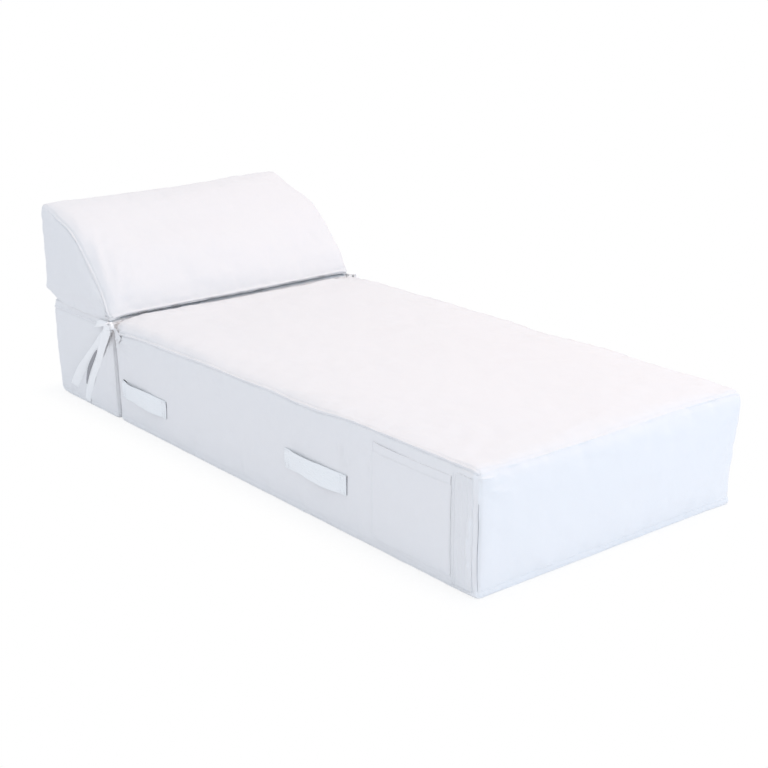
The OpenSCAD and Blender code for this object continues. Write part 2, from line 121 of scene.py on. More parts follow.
def along_line(points):
    """Distance run at each point of a line."""
    return np.concatenate([[0], np.cumsum(np.linalg.norm(np.diff(points, axis=0), axis=1))])


def waves(p, seed, count, short, long, power=1.0, stretch=(1, 1, 1)):
    """A smooth random field of unit variance over points p, with wavelengths from short to long."""
    rng = np.random.default_rng(seed)
    way = rng.normal(size=(count, 3))
    way /= np.linalg.norm(way, axis=1)[:, None]
    length = short * (long / short) ** rng.random(count)
    high = (length / long) ** power
    phase = rng.random(count) * 2 * np.pi
    turn = (p / np.array(stretch)) @ (way / length[:, None]).T * 2 * np.pi + phase
    return (np.sin(turn) * high).sum(-1) / math.sqrt((high**2).sum() / 2)


# Meshes


def mesh_object(name, points, faces, uvs=None, groove=None):
    """points are in millimetres; uvs has one (u, v) in metres for each corner of each face."""
    mesh = bpy.data.meshes.new(name)
    spots = [tuple(p) for p in np.asarray(points, float) * MM]
    mesh.from_pydata(spots, [], [tuple(int(i) for i in f) for f in faces])
    if uvs is not None:
        layer = mesh.uv_layers.new(name=SEAM_MAP)
        layer.data.foreach_set("uv", np.asarray(uvs, np.float32).ravel())
    if groove is not None:
        attribute = mesh.attributes.new(GROOVE, "FLOAT", "POINT")
        attribute.data.foreach_set("value", np.asarray(groove, np.float32))
    mesh.polygons.foreach_set("use_smooth", [True] * len(mesh.polygons))
    mesh.validate(clean_customdata=False)
    mesh.update()
    made = bpy.data.objects.new(name, mesh)
    bpy.context.scene.collection.objects.link(made)
    return made


def dress(made, material, body, slot, *nodes):
    """Gives a piece its material and body, and hides the nodes that it stands for. slot is not
    used.
    """
    made.data.materials.clear()
    made.data.materials.append(material)
    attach(made, body)
    if nodes:
        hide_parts(*nodes)
    return made


# Materials


class Nodes:
    """A short way to write the nodes of a material or of the world."""

    def __init__(self, owner, output="OutputMaterial"):
        owner.use_nodes = True
        self.owner, self.tree = owner, owner.node_tree
        self.tree.nodes.clear()
        self.output = self.add(output)

    def add(self, kind, inputs=None, **settings):
        node = self.tree.nodes.new("ShaderNode" + kind)
        for k, v in settings.items():
            setattr(node, k, v)
        for k, v in (inputs or {}).items():
            if isinstance(v, bpy.types.NodeSocket):
                self.tree.links.new(v, node.inputs[k])
            else:
                node.inputs[k].default_value = v
        return node

    def math(self, operation, *values, clamp=False):
        inputs = dict(enumerate(values))
        return self.add("Math", inputs, operation=operation, use_clamp=clamp).outputs[0]

    def plus(self, a, b):
        return self.math("ADD", a, b)

    def times(self, a, b):
        return self.math("MULTIPLY", a, b)

    def about(self, a, middle, amount):
        """How far a lies from middle, times amount."""
        return self.times(self.math("SUBTRACT", a, middle), amount)

    def mix(self, factor, a, b):
        return self.add("Mix", {0: factor, 6: (*a, 1), 7: (*b, 1)}, data_type="RGBA").outputs[2]

    def noise(self, vector, scale, detail=3.0, rough=0.5):
        inputs = {"Vector": vector, "Scale": scale, "Detail": detail, "Roughness": rough}
        return self.add("TexNoise", inputs).outputs["Fac"]

    def scaled(self, vector, x, y):
        return self.add("Mapping", {"Vector": vector, "Scale": (x, y, 1.0)}).outputs[0]

    def bump(self, height, distance, strength, **more):
        inputs = {"Height": height, "Distance": distance, "Strength": strength}
        return self.add("Bump", {**inputs, **more}).outputs[0]

    def seen(self):
        """1 for rays that come from the view, straight, mirrored or through glass."""
        path = self.add("LightPath").outputs
        most = self.math("MAXIMUM", path["Is Camera Ray"], path["Is Glossy Ray"])
        return self.math("MAXIMUM", most, path["Is Transmission Ray"])

    def finish(self, shader):
        self.tree.links.new(shader.outputs[0], self.output.inputs[0])
        return self.owner


def surface(n, colour, rough, normal, **sockets):
    inputs = {"Base Color": colour, "Roughness": rough, "Normal": normal}
    inputs.update({k.replace("_", " "): v for k, v in sockets.items()})
    return n.finish(n.add("BsdfPrincipled", inputs))


def woven(name, colour, thread_mm, sheen=0.12, slub=0.5, ribs=0.0, relief=0.12, dark=0.9):
    """Plain woven cloth: crossing threads, uneven slubs, faint creasing, and painted shade in the
    seams' grooves.
    """
    n = Nodes(bpy.data.materials.new(name))
    uv = n.add("UVMap", uv_map=SEAM_MAP).outputs[0]
    place = n.add("TexCoord").outputs["Object"]
    along, across = n.add("SeparateXYZ", {0: uv}).outputs[:2]
    per_metre = math.pi / (thread_mm * MM)
    wander = n.times(n.noise(n.scaled(uv, 3, 60), 1.0, 2), 2.2)
    sx = n.math("SINE", n.plus(n.times(along, per_metre), wander))
    sy = n.math("SINE", n.times(across, per_metre))
    over = n.math("MULTIPLY_ADD", n.times(sx, sy), 1.5, 0.5, clamp=True)
    warp = n.times(n.times(sx, sx), over)
    weft = n.times(n.times(sy, sy), n.math("SUBTRACT", 1.0, over))
    threads = n.plus(warp, weft)
    slubs = [n.noise(n.scaled(uv, *scale), 1.0, 2, 0.6) for scale in ((18, 900), (900, 18))]
    slubs = n.times(n.plus(*slubs), 0.5)
    broad = n.noise(place, 5.5, 4, 0.55)
    crumple = n.noise(place, 38.0, 3, 0.55)
    shade = n.plus(n.about(slubs, 0.5, 0.16 * slub), n.about(broad, 0.5, 0.05))
    shade = n.plus(shade, n.about(threads, 0.6, 0.05))
    # Painted shade: the cloth is darker where the groove attribute marks a seam's groove, a hem
    # line or a band's edge
    painted_groove_shade = n.times(n.add("Attribute", attribute_name=GROOVE).outputs["Fac"], 0.32)
    shade = n.math("SUBTRACT", n.plus(shade, 0.5), painted_groove_shade, clamp=True)
    low = tuple(c * dark for c in colour)
    high = tuple(min(1.0, c * (2 - dark) ** 0.5) for c in colour)
    height = n.plus(threads, n.times(slubs, 1.2 * slub))
    if ribs:
        rib = n.math("SINE", n.times(across, 2 * math.pi / (ribs * MM)))
        height = n.plus(height, n.times(rib, 1.6))
    normal = n.bump(height, relief * MM, 0.9, Normal=n.bump(crumple, 0.0035, 0.35))
    rough = n.math("MULTIPLY_ADD", threads, -0.08, 0.93)
    sockets = {"Sheen_Weight": sheen, "Sheen_Roughness": 0.45, "Specular_IOR_Level": 0.2}
    return surface(n, n.mix(shade, low, high), rough, normal, **sockets)


CANVAS = woven("white_canvas", (0.86, 0.86, 0.868), 1.15)
CANVAS_FACING = woven("facing_canvas", (0.875, 0.88, 0.89), 1.9, slub=2.2, relief=0.3, dark=0.86)
WEBBING = woven("cotton_webbing", (0.925, 0.945, 0.955), 1.5, ribs=6.2, relief=0.16, dark=0.95)
TAPE = woven("tie_tape", (0.975, 0.98, 0.985), 1.1, sheen=0.3, ribs=3.5, relief=0.14, dark=0.96)
LINING = woven("base_lining", (0.60, 0.56, 0.50), 0.9, slub=0.8, dark=0.8)


def plain(name, colour, rough, grain, depth_mm, metal=0.0):
    """A solid stuff with a fine grain and a little wear."""
    n = Nodes(bpy.data.materials.new(name))
    place = n.add("TexCoord").outputs["Object"]
    fine = n.noise(place, grain, 4, 0.6)
    broad = n.noise(place, grain * 0.06, 3, 0.5)
    worn = n.math("MULTIPLY_ADD", n.plus(fine, broad), 0.5, 0.0)
    tint = n.mix(worn, tuple(c * 0.86 for c in colour), tuple(min(1, c * 1.08) for c in colour))
    roughness = n.math("MULTIPLY_ADD", fine, 0.16, rough - 0.08)
    return surface(n, tint, roughness, n.bump(fine, depth_mm * MM, 0.6), Metallic=metal)


FOAM = plain("foam", (0.80, 0.74, 0.52), 0.9, 700, 0.5)
LINER = plain("liner_cloth", (0.66, 0.61, 0.54), 0.9, 1500, 0.2)
ZIP_WHITE = plain("zip_teeth", (0.80, 0.81, 0.82), 0.35, 900, 0.05)
NICKEL = plain("zip_metal", (0.62, 0.62, 0.63), 0.28, 1400, 0.03, metal=1.0)
THREAD = plain("sewing_thread", (0.82, 0.825, 0.84), 0.75, 2600, 0.12)
# Painted shadow: nearly black cloth for strips laid where narrow openings and folds show shade
SHADE = plain("dark_opening_shadow", (0.045, 0.040, 0.042), 0.9, 800, 0.2)
# Painted shade: grey cloth for strips laid where creases and turned edges show soft shade
CREASE_SHADE = plain("painted_crease_shade", (0.36, 0.36, 0.38), 0.9, 800, 0.2)

# Covers. A cover is a box of lattice lines, mapped onto a form with round edges.

FACES = {  # the axis that the face looks along, its side, and the axes across it
    "head": (0, 0, 1, 2),
    "foot": (0, 1, 1, 2),
    "near": (1, 0, 0, 2),
    "far": (1, 1, 0, 2),
    "under": (2, 0, 0, 1),
    "top": (2, 1, 0, 1),
}
FINE_ARCS = (0, 0.9, 1.8, 2.8, 4.0, 5.4, 7.0, 9.2)  # lattice lines over a round edge
COARSE_ARCS = (0, 6.3)
COARSE_STEP = 19
SAME_PLACE = 0.01  # points that lie closer are one point
PRESSURE, SLACK, CLOTH_FRAMES = 2.2, 0.004, 20


def line_at(s):
    """Place along the box of a point at s over the surface from a seam, on the round edge."""
    return EDGE_R - EDGE_R * math.tan(math.pi / 4 - s / EDGE_R)


def over_surface(c):
    """Distance over the surface from a seam, for places at c from it along the box."""
    turn = np.arctan2(np.clip(EDGE_R - c, 0, None), EDGE_R)
    on_edge, past_edge = EDGE_R * (math.pi / 4 - turn), EDGE_R * math.pi / 4 + c - EDGE_R
    return np.where(c < EDGE_R, on_edge, past_edge)


def lattice_line(length, step, arcs, extra=()):
    """Places of the lattice lines along one side of a box: close together over its round edges."""
    edge = np.array([*(line_at(s) for s in arcs), EDGE_R, *extra])
    last = edge[-1]
    count = max(1, round((length - 2 * last) / step))
    middle = np.linspace(last, length - last, count + 1)[1:-1]
    return np.concatenate([edge, middle, length - edge[::-1]])


def cell_corners(grid):
    return [grid[:-1, :-1], grid[1:, :-1], grid[1:, 1:], grid[:-1, 1:]]


def same_places(points):
    """Of points that may lie on each other: the first at each place, and each one's place."""
    keys = np.round(points / SAME_PLACE).astype(int)
    _, first, same = np.unique(keys, axis=0, return_index=True, return_inverse=True)
    return first, same.ravel()


class Lattice:
    """Points on the faces of a box, with each face's grid of point numbers."""

    def __init__(self, size, lines):
        self.size, self.lines = np.array(size, float), lines
        counts = [len(line) for line in lines]
        stacks, shapes = [], []
        for axis, side, u, v in FACES.values():
            grid = np.zeros((counts[u], counts[v], 3), int)
            grid[..., axis] = side * (counts[axis] - 1)
            grid[..., u] = np.arange(counts[u])[:, None]
            grid[..., v] = np.arange(counts[v])[None, :]
            stacks.append(grid.reshape(-1, 3))
            shapes.append(grid.shape[:2])
        keys, ids = np.unique(np.concatenate(stacks), axis=0, return_inverse=True)
        ids = ids.ravel()
        self.grids, start = {}, 0
        for name, shape in zip(FACES, shapes):
            self.grids[name] = ids[start : start + shape[0] * shape[1]].reshape(shape)
            start += shape[0] * shape[1]
        self.c = np.stack([lines[a][keys[:, a]] for a in range(3)], 1)
        self.q = np.clip(self.c, EDGE_R, self.size - EDGE_R)
        d = self.c - self.q
        self.n = d / np.linalg.norm(d, axis=1)[:, None]
        # Distance over the surface from the nearer end of each axis
        self.arcs = over_surface(np.minimum(self.c, self.size - self.c))

    def on(self, name):
        """1 at the points of a face, round to the middle of its edges, and 0 elsewhere."""
        mark = np.zeros(len(self.c))
        mark[self.grids[name].ravel()] = 1
        return mark

    def off_seam(self):
        """Distance over the surface from the nearest seam."""
        return np.sort(self.arcs, 1)[:, 1]

    def quads(self):
        """Faces, and a place on the cloth in metres for each of their corners."""
        faces, uvs = [], []
        for name, (axis, side, u, v) in FACES.items():
            g = self.grids[name]
            spots = np.meshgrid(self.lines[u] * MM, self.lines[v] * MM, indexing="ij")
            corners, places = cell_corners(g), cell_corners(np.stack(spots, -1))
            if (side == 0) != (axis == 1):
                corners, places = corners[::-1], places[::-1]
            faces.append(np.stack([x.ravel() for x in corners], 1))
            uvs.append(np.stack([x.reshape(-1, 2) for x in places], 1))
        return np.concatenate(faces), np.concatenate(uvs)


def drop_thin(points, faces, uvs):
    """Joins points that lie on each other, and gives each face its real corners."""
    first, same = same_places(points)
    out_faces, out_uvs = [], []
    for face, spots in zip(same[faces], uvs):
        kept = [k for k in range(4) if face[k] != face[k - 1]]
        if len(set(face[kept])) >= 3:
            out_faces.append([face[k] for k in kept])
            out_uvs.extend(spots[k] for k in kept)
    return points[first], out_faces, out_uvs, first


def cubic(lines, at):
    """Matrix that reads values on lattice lines at other places, smoothly."""
    k = np.clip(np.searchsorted(lines, at, side="right") - 1, 0, len(lines) - 2)
    t = (at - lines[k]) / (lines[k + 1] - lines[k])
    weights = (
        -0.5 * t + t**2 - 0.5 * t**3,
        1 - 2.5 * t**2 + 1.5 * t**3,
        0.5 * t + 2 * t**2 - 1.5 * t**3,
        -0.5 * t**2 + 0.5 * t**3,
    )
    matrix = np.zeros((len(at), len(lines)))
    for j, weight in enumerate(weights):
        column = np.clip(k + j - 1, 0, len(lines) - 1)
        np.add.at(matrix, (np.arange(len(at)), column), weight)
    return matrix


def simulate(coarse, points, pins, cap):
    """Blows the cover up as cloth held at its seams, and returns how far each point moves.

    No point moves further than cap.
    """
    faces, uvs = coarse.quads()
    merged, faces, uvs, first = drop_thin(points, faces, uvs)
    made = mesh_object("cloth_work", merged, faces)
    group = made.vertex_groups.new(name="pin")
    group.add([int(i) for i in np.flatnonzero(pins[first])], 1.0, "REPLACE")
    cloth = made.modifiers.new("Cloth", "CLOTH")
    s = cloth.settings
    s.quality = 6
    s.mass = 0.35
    s.tension_stiffness = s.compression_stiffness = 30
    s.shear_stiffness = 14
    s.bending_stiffness = 6
    s.air_damping = 2
    s.vertex_group_mass = "pin"
    s.use_pressure = True
    s.uniform_pressure_force = PRESSURE
    s.shrink_min = -SLACK
    s.effector_weights.gravity = 0
    cloth.collision_settings.use_collision = False
    scene = bpy.context.scene
    for f in range(1, CLOTH_FRAMES + 1):
        scene.frame_set(f)
    shown = made.evaluated_get(bpy.context.evaluated_depsgraph_get())
    moved = np.zeros(len(merged) * 3)
    shown.data.vertices.foreach_get("co", moved)
    shift = moved.reshape(-1, 3) / MM - merged
    bpy.data.objects.remove(made)
    scene.frame_set(1)
    size = np.linalg.norm(shift, axis=1)[:, None] + 1e-9
    shift *= cap * np.tanh(size / cap) / size
    return shift[same_places(points)[1]]


def spread(coarse, shift, fine):
    """Carries a shift from the coarse lattice to the fine one, face by face."""
    out = np.zeros((len(fine.c), 3))
    for name, (_, _, u, v) in FACES.items():
        a = cubic(coarse.lines[u], fine.lines[u])
        b = cubic(coarse.lines[v], fine.lines[v])
        grid = shift[coarse.grids[name]]
        out[fine.grids[name]] = np.einsum("ui,ijc,vj->uvc", a, grid, b)
    return out


def ridge_height(s, onto_side):
    """A seam's section: a rolled ridge, a groove on its lower side, a welt up to the stitches."""
    ridge = 2.5 * np.exp(-((np.abs(s) / 2.5) ** 3))
    groove = -(0.25 + 0.75 * onto_side) * bell(s - 4.4, 1.5)
    welt = 0.45 * bell(s - 7.6, 2.0)
    return ridge + groove + welt


def from_side(lattice, axis, side):
    """Distance over the surface from one end of an axis."""
    c = lattice.c[:, axis]
    return over_surface(lattice.size[axis] - c if side else c)


def round_profile(s, radius, angle):
    """Depth under both planes of a round edge, at s over the surface from a seam at that angle."""
    flat = radius * (math.pi / 2 - angle)
    turn = angle + np.minimum(s, flat) / radius
    return radius * (1 - np.cos(turn)) + np.maximum(s - flat, 0), radius * (1 - np.sin(turn))


def reround(lattice, a_end, b_end, sag, radius=None, fade=45, reach=90):
    """Gives one edge of the box another radius, with its seam lower by sag on the side a.

    Returns the depths to add under the two planes that meet there.
    """
    a, b = from_side(lattice, *a_end), from_side(lattice, *b_end)
    sag = np.broadcast_to(sag, a.shape).astype(float)
    radius = np.clip(sag + 14, 16, 37) if radius is None else np.broadcast_to(radius, a.shape)
    angle = np.arcsin(np.clip((radius - sag) / radius, 0.05, 0.999))
    total = a * a + b * b + 2e-4
    depths = []
    for s, other, turned in ((a, b, angle), (b, a, math.pi / 2 - angle)):
        share = (s * s + 1e-4) / total * bell(other, fade)
        grow = EDGE_R * (1 - math.pi / 4) - radius + radius * (math.pi / 2 - turned)
        new = round_profile(s + grow * ramp(s, 8, reach), radius, turned)
        old = round_profile(s, np.full_like(s, EDGE_R), math.pi / 4)
        depths.append((share * (new[0] - old[0]), share * (new[1] - old[1])))
    return depths[0][0] + depths[1][1], depths[0][1] + depths[1][0]


EDGES = {  # an edge of the box, by its two faces
    "near_top": ((1, 0), (2, 1)),
    "far_top": ((1, 1), (2, 1)),
    "head_top": ((0, 0), (2, 1)),
    "foot_top": ((0, 1), (2, 1)),
    "near_low": ((1, 0), (2, 0)),
    "far_low": ((1, 1), (2, 0)),
    "head_low": ((0, 0), (2, 0)),
    "foot_low": ((0, 1), (2, 0)),
    "head_near": ((0, 0), (1, 0)),
    "head_far": ((0, 0), (1, 1)),
    "foot_near": ((0, 1), (1, 0)),
    "foot_far": ((0, 1), (1, 1)),
}


def ridges(lattice, place, weights, seed, low):
    """The seams' relief, and how deep each point lies in a groove, where the cloth paints shade.

    weights gives each seam's height, and low the seams that lie further down their side.
    """
    best, deep = np.zeros(len(lattice.c)), np.zeros(len(lattice.c))
    wander = 0.5 * waves(place, seed, 24, 60, 240)
    swell = 1 + 0.2 * waves(place, seed + 1, 24, 26, 120)
    for name, (a_end, b_end) in EDGES.items():
        a, b = from_side(lattice, *a_end), from_side(lattice, *b_end)
        weight = weights[name]
        b = b - low.get(name, 0.0)
        s = np.maximum(a, np.abs(b))
        onto_side = smooth(b / 3.0)
        h = ridge_height(s + wander * np.exp(-s / 12), onto_side) * swell * weight
        best = np.where(np.abs(h) > np.abs(best), h, best)
        deep = np.maximum(deep, weight * (0.3 + 0.7 * onto_side) * bell(s - 4.2, 1.7))
    return best, deep


def face_normals(lattice, points):
    """Outward normals of the lattice's points."""
    faces, _ = lattice.quads()
    p = points[faces]
    normal = unit(np.cross(p[:, 2] - p[:, 0], p[:, 3] - p[:, 1]), 1e-9)
    out = np.zeros_like(points)
    for k in range(4):
        np.add.at(out, faces[:, k], normal)
    return unit(out, 1e-9)


def fold(p, ax, ay, bx, by, width, height):
    """A soft fold over a panel from a to b, as a height at points p of the panel."""
    a, ab = np.array([ax, ay]), np.array([bx - ax, by - ay])
    t = ((p - a) @ ab) / (ab @ ab)
    d = np.linalg.norm(p - a - np.clip(t, 0, 1)[:, None] * ab, axis=1)
    taper = np.sin(np.pi * np.clip(t, 0.0, 1.0)) ** 0.6
    w = width * (0.6 + 0.6 * np.clip(t, 0, 1))
    return height * taper * (bell(d, w) - 0.45 * bell(d - 1.7 * w, w))


def folds(lattice, p, tables):
    """The heights of the folds on the faces that the tables name."""
    h = np.zeros(len(p))
    for face, rows in tables.items():
        _, _, u, v = FACES[face]
        h += lattice.on(face) * sum(fold(p[:, [u, v]], *row) for row in rows)
    return h


def keep_flat(p2, lo, hi, margin):
    """0 inside a rectangle of a panel, rising to 1 at margin outside it."""
    out = np.maximum(np.maximum(lo - p2, p2 - hi), 0)
    return smooth(np.linalg.norm(out, axis=1) / margin)


def seam_puckers(lattice, place, seed, high):
    """Short gathers that run in from the seams."""
    near = np.exp(-lattice.off_seam() / 26)
    return high * near * waves(place, seed, 60, 24, 70, 0.4)


def seat_zip(lattice, points, face, tapes):
    """Draws the cloth in under the tapes of its zip."""
    axis, side, u, v = FACES[face]
    sign = 1 if side else -1
    lo, hi = tapes
    mask = 1 - keep_flat(points[:, [u, v]], lo[[u, v]] - 4, hi[[u, v]] + 4, 48)
    limit = sign * (lo[axis] + hi[axis]) / 2 - 0.5
    past = np.maximum(sign * points[:, axis] - limit, 0)
    points[:, axis] -= sign * past * mask * lattice.on(face)


def clear_liner(points, node, margin):
    """Keeps the cloth over the liner inside it, which is a bar of one convex section along Y."""
    corners = np.array([v.co[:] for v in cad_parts[node].data.vertices]) / MM
    section = np.unique(np.round(corners[:, [0, 2]], 2), axis=0)
    hull = []
    for row in (section, section[::-1]):
        part = []
        for q in row:
            while len(part) > 1 and np.linalg.det([part[-1] - part[-2], q - part[-2]]) <= 1e-6:
                part.pop()
            part.append(q)
        hull += part[:-1]
    hull = np.array(hull)
    edge = np.roll(hull, -1, axis=0) - hull
    out = np.stack([edge[:, 1], -edge[:, 0]], 1) / np.linalg.norm(edge, axis=1)[:, None]
    depth = points[:, [0, 2]] @ out.T - (hull * out).sum(1)
    depth = np.concatenate([depth, np.abs(points[:, 1:2]) - corners[:, 1].max()], 1)
    ways = np.concatenate([np.stack([out[:, 0], 0 * out[:, 0], out[:, 1]], 1), [[0, 1, 0]]])
    best = depth.argmax(1)
    way = ways[best]
    way[:, 1] *= np.sign(points[:, 1])
    points += way * np.maximum(margin - depth[np.arange(len(points)), best], 0)[:, None]


class Cover:
    """A finished cover: its lattice and its points."""

    def __init__(self, part, lattice, points, groove, body, fill):
        faces, uvs = lattice.quads()
        self.lattice, self.points, self.body = lattice, points, body
        merged, faces, uvs, first = drop_thin(points, faces, uvs)
        groove = np.clip(groove[first], 0, 1)
        self.object = mesh_object(f"{part}_slipcover", merged, faces, uvs, groove)
        dress(self.object, CANVAS, body, "canvas", f"{part}_cover")

    def grid(self, face):
        return self.points[self.lattice.grids[face]]

    def row(self, face, axis, c):
        """Points along the lattice line of a face that lies nearest to c across the given axis."""
        _, _, u, v = FACES[face]
        grid = self.grid(face)
        k = int(np.argmin(np.abs(self.lattice.lines[axis] - c)))
        return grid[k] if axis == u else grid[:, k]


def lattices(size, steps, extra=()):
    """The lattices of a cover and of its simulation. extra gives more lines up the sides."""
    extras = ((), (), extra)
    fine = [lattice_line(size[a], steps[a], FINE_ARCS, extras[a]) for a in range(3)]
    coarse = [lattice_line(size[a], COARSE_STEP, COARSE_ARCS) for a in range(3)]
    return Lattice(size, fine), Lattice(size, coarse)


def cloth_shift(fine, coarse, place, cap):
    edge = coarse.off_seam() < 1
    pins = edge | (coarse.on("under") > 0)
    shift = simulate(coarse, place(coarse), pins, cap)
    return spread(coarse, shift, fine) * (1 - fine.on("under"))[:, None]


def edge_shapes(lattice, shapes):
    """Moves of the points that give a block's edges their own radius and their seams' sag."""
    out = np.zeros((len(lattice.c), 3))
    for name, (sag, radius) in shapes.items():
        ends = EDGES[name]
        for (axis, side), depth in zip(ends, reround(lattice, *ends, sag, radius)):
            out[:, axis] += depth * (-1 if side else 1)
    return out


def zip_flat(lattice, p, face, tapes):
    """Keeps a face flat where its zip is sewn on."""
    _, _, u, v = FACES[face]
    lo, hi = tapes
    mask = keep_flat(p[:, [u, v]], lo[[u, v]], hi[[u, v]], 60)
    return np.where(lattice.on(face) > 0, mask, 1)


def panel_relief(lattice, p, seed, broad, fine_h, pucker):
    """Broad unevenness, small creasing and gathers of a covered foam block."""
    under = 1 - lattice.on("under")
    h = broad * waves(p, seed, 40, 160, 620, 0.8)
    h = h + fine_h * waves(p, seed + 5, 70, 34, 130, 0.7)
    return under * (h + seam_puckers(lattice, p, seed + 9, pucker))


HEM_H = 21.3  # the hem's stitched edge above the floor


def block_cover(
    part, span, crown, ends, seed, step, extra,
    shapes, weights, low, joint, relief, cap, margin, zipped,
):
    """The cover of a block that spans from span[0] to span[1] along the bed.

    crown and ends say how far its top, its head end and its foot end swell out. shapes and
    weights give its edges and seams, joint and relief its own moves and heights. cap limits
    the cloth's give, margin is the least room over the liner, and zipped names the face of
    the zip and its tapes.
    """
    x0, x1 = span
    size = (x1 - x0, 2 * SIDE_Y, BLOCK_H)
    origin = np.array([x0, -SIDE_Y, 0.0])
    fine, coarse = lattices(size, (step, 8.6, 7.6), extra)

    def place(lattice):
        sx, sy, sz = (2 * lattice.c[:, a] / size[a] - 1 for a in range(3))
        rise = crown * bump(sx) * bump(sy) * lattice.on("top")
        for face, swell in zip(("head", "foot"), ends):
            rise = rise + swell * bump(sy, 2) * bump(sz, 2) * lattice.on(face)
        return origin + lattice.q + lattice.n * (EDGE_R + rise)[:, None]

    p = fine.c + origin
    base = place(fine) + cloth_shift(fine, coarse, place, cap) + edge_shapes(fine, shapes(p))
    base += joint(fine, p)
    high, groove = ridges(fine, p, weights(p), seed, low)
    sides = np.clip(sum(fine.on(face) for face in ("near", "far", "head", "foot")), 0, 1)
    up = fine.c[:, 2]
    hem = 0.8 * sides * (1 - ramp(up, 19.0, 3.0)) * smooth(up / 8)
    # Painted shade along the hem's stitch line, through the groove attribute
    groove = np.maximum(groove, 0.55 * sides * bell(up - HEM_H, 1.3))
    from_hem = np.minimum(fine.arcs[:, 0], fine.arcs[:, 1]) - 24
    recess = 1.6 * fine.on("under") * smooth(from_hem / 5)
    rise = high + hem - recess + relief(fine, p) * (0.2 + 0.8 * ramp(up, 3, 30))
    points = base + face_normals(fine, base) * rise[:, None]
    seat_zip(fine, points, *zipped)
    clear_liner(points, f"{part}_liner", margin)
    points[:, 2] = np.maximum(points[:, 2], 0.0)
    return Cover(part, fine, points, groove, f"{part}_block", 0.85)


main_tapes = cad("main_zip_tapes")
head_tapes = cad("head_zip_tapes")
bolster_tapes = cad("bolster_zip_tapes")


MIRROR_X = 438  # the far side repeats the near one, mirrored about half of this


def near_sag(x):
    """How far the near top seam hangs below the top."""
    at = [-591, -575, -545, -500, -400, -200, 0, 200, 330, 430, 520, 600, 1029]
    down = [36, 33, 28, 24, 20, 15, 12, 9.5, 12, 10, 6, 4.7, 4.7]
    return np.interp(x, at, down) + 1.1 * np.sin(x / 57.0) * np.exp(-(((x - 60) / 420) ** 4))


def main_shapes(p):
    x, y, z = p.T
    far_half = smooth((y + 60) / 380)
    far_up = ramp(z, 150, 120)
    return {
        "near_top": (near_sag(x), None),
        "far_top": (4.7 + 0.35 * (near_sag(MIRROR_X - x) - 4.7), None),
        "foot_top": (8.2, 28.0),
        "head_top": (3.6 + 2.8 * far_half, 12 + 10 * far_half),
        "foot_near": (6.2, 21.0),
        "foot_far": (5.3 + 2.9 * far_up, 18 + 10 * far_up),
        "head_near": (4.1, 14.0),
        "head_far": (4.1, 14.0),
        "foot_low": (2.1, 7.0),
    }


def main_weights(p):
    far_part = ramp(p[:, 1], 200, 200)
    return {
        "near_top": 1.15, "far_top": 0.9, "foot_top": 0.12 + 0.55 * far_part, "head_top": 0.35,
        "foot_near": 0.35, "foot_far": 0.5, "head_near": 0.5, "head_far": 0.5,
        "near_low": 0.4, "far_low": 0.4, "foot_low": 0.4, "head_low": 0.3,
    }


def main_joint(lattice, p):
    """The head face leans, the foot draws in at the floor, the near edge rises by the pocket."""
    x, y, z = p.T
    out = np.zeros((len(p), 3))
    out[:, 0] += (9.5 - 10 * z / BLOCK_H) * bell(x - MAIN_X0, 46)
    foot = ramp(x, MAIN_X1 - 70, 70)
    far = ramp(y, 330, 110) * foot
    out[:, 0] -= (5.0 - 3.5 * far) * foot * (1 - smooth(z / 190))
    # The top is full up to the head's edge
    near_head = bell(x - MAIN_X0 - 24, 60) * smooth((450 - np.abs(y)) / 120)
    out[:, 2] += 8.0 * ramp(z, 190, 110) * near_head
    a, b = from_side(lattice, 1, 0), from_side(lattice, 2, 1)
    out[:, 2] += 4.0 * ramp(x, 440, 140) * bell(a + b, 60)
    # The far half stands fuller, and its foot corner swells out at the top
    high_far = ramp(z, 170, 130) * smooth((y + 40) / 340)
    along = smooth((x + 590) / 190) * (1 - 0.6 * ramp(x, 820, 180))
    out[:, 2] += 12.0 * high_far * along
    corner = np.exp(-((((p - [MAIN_X1, SIDE_Y, 285]) / [150, 120, 105]) ** 2).sum(1)))
    out += corner[:, None] * np.array([10.0, 15.0, 0.0])
    return out


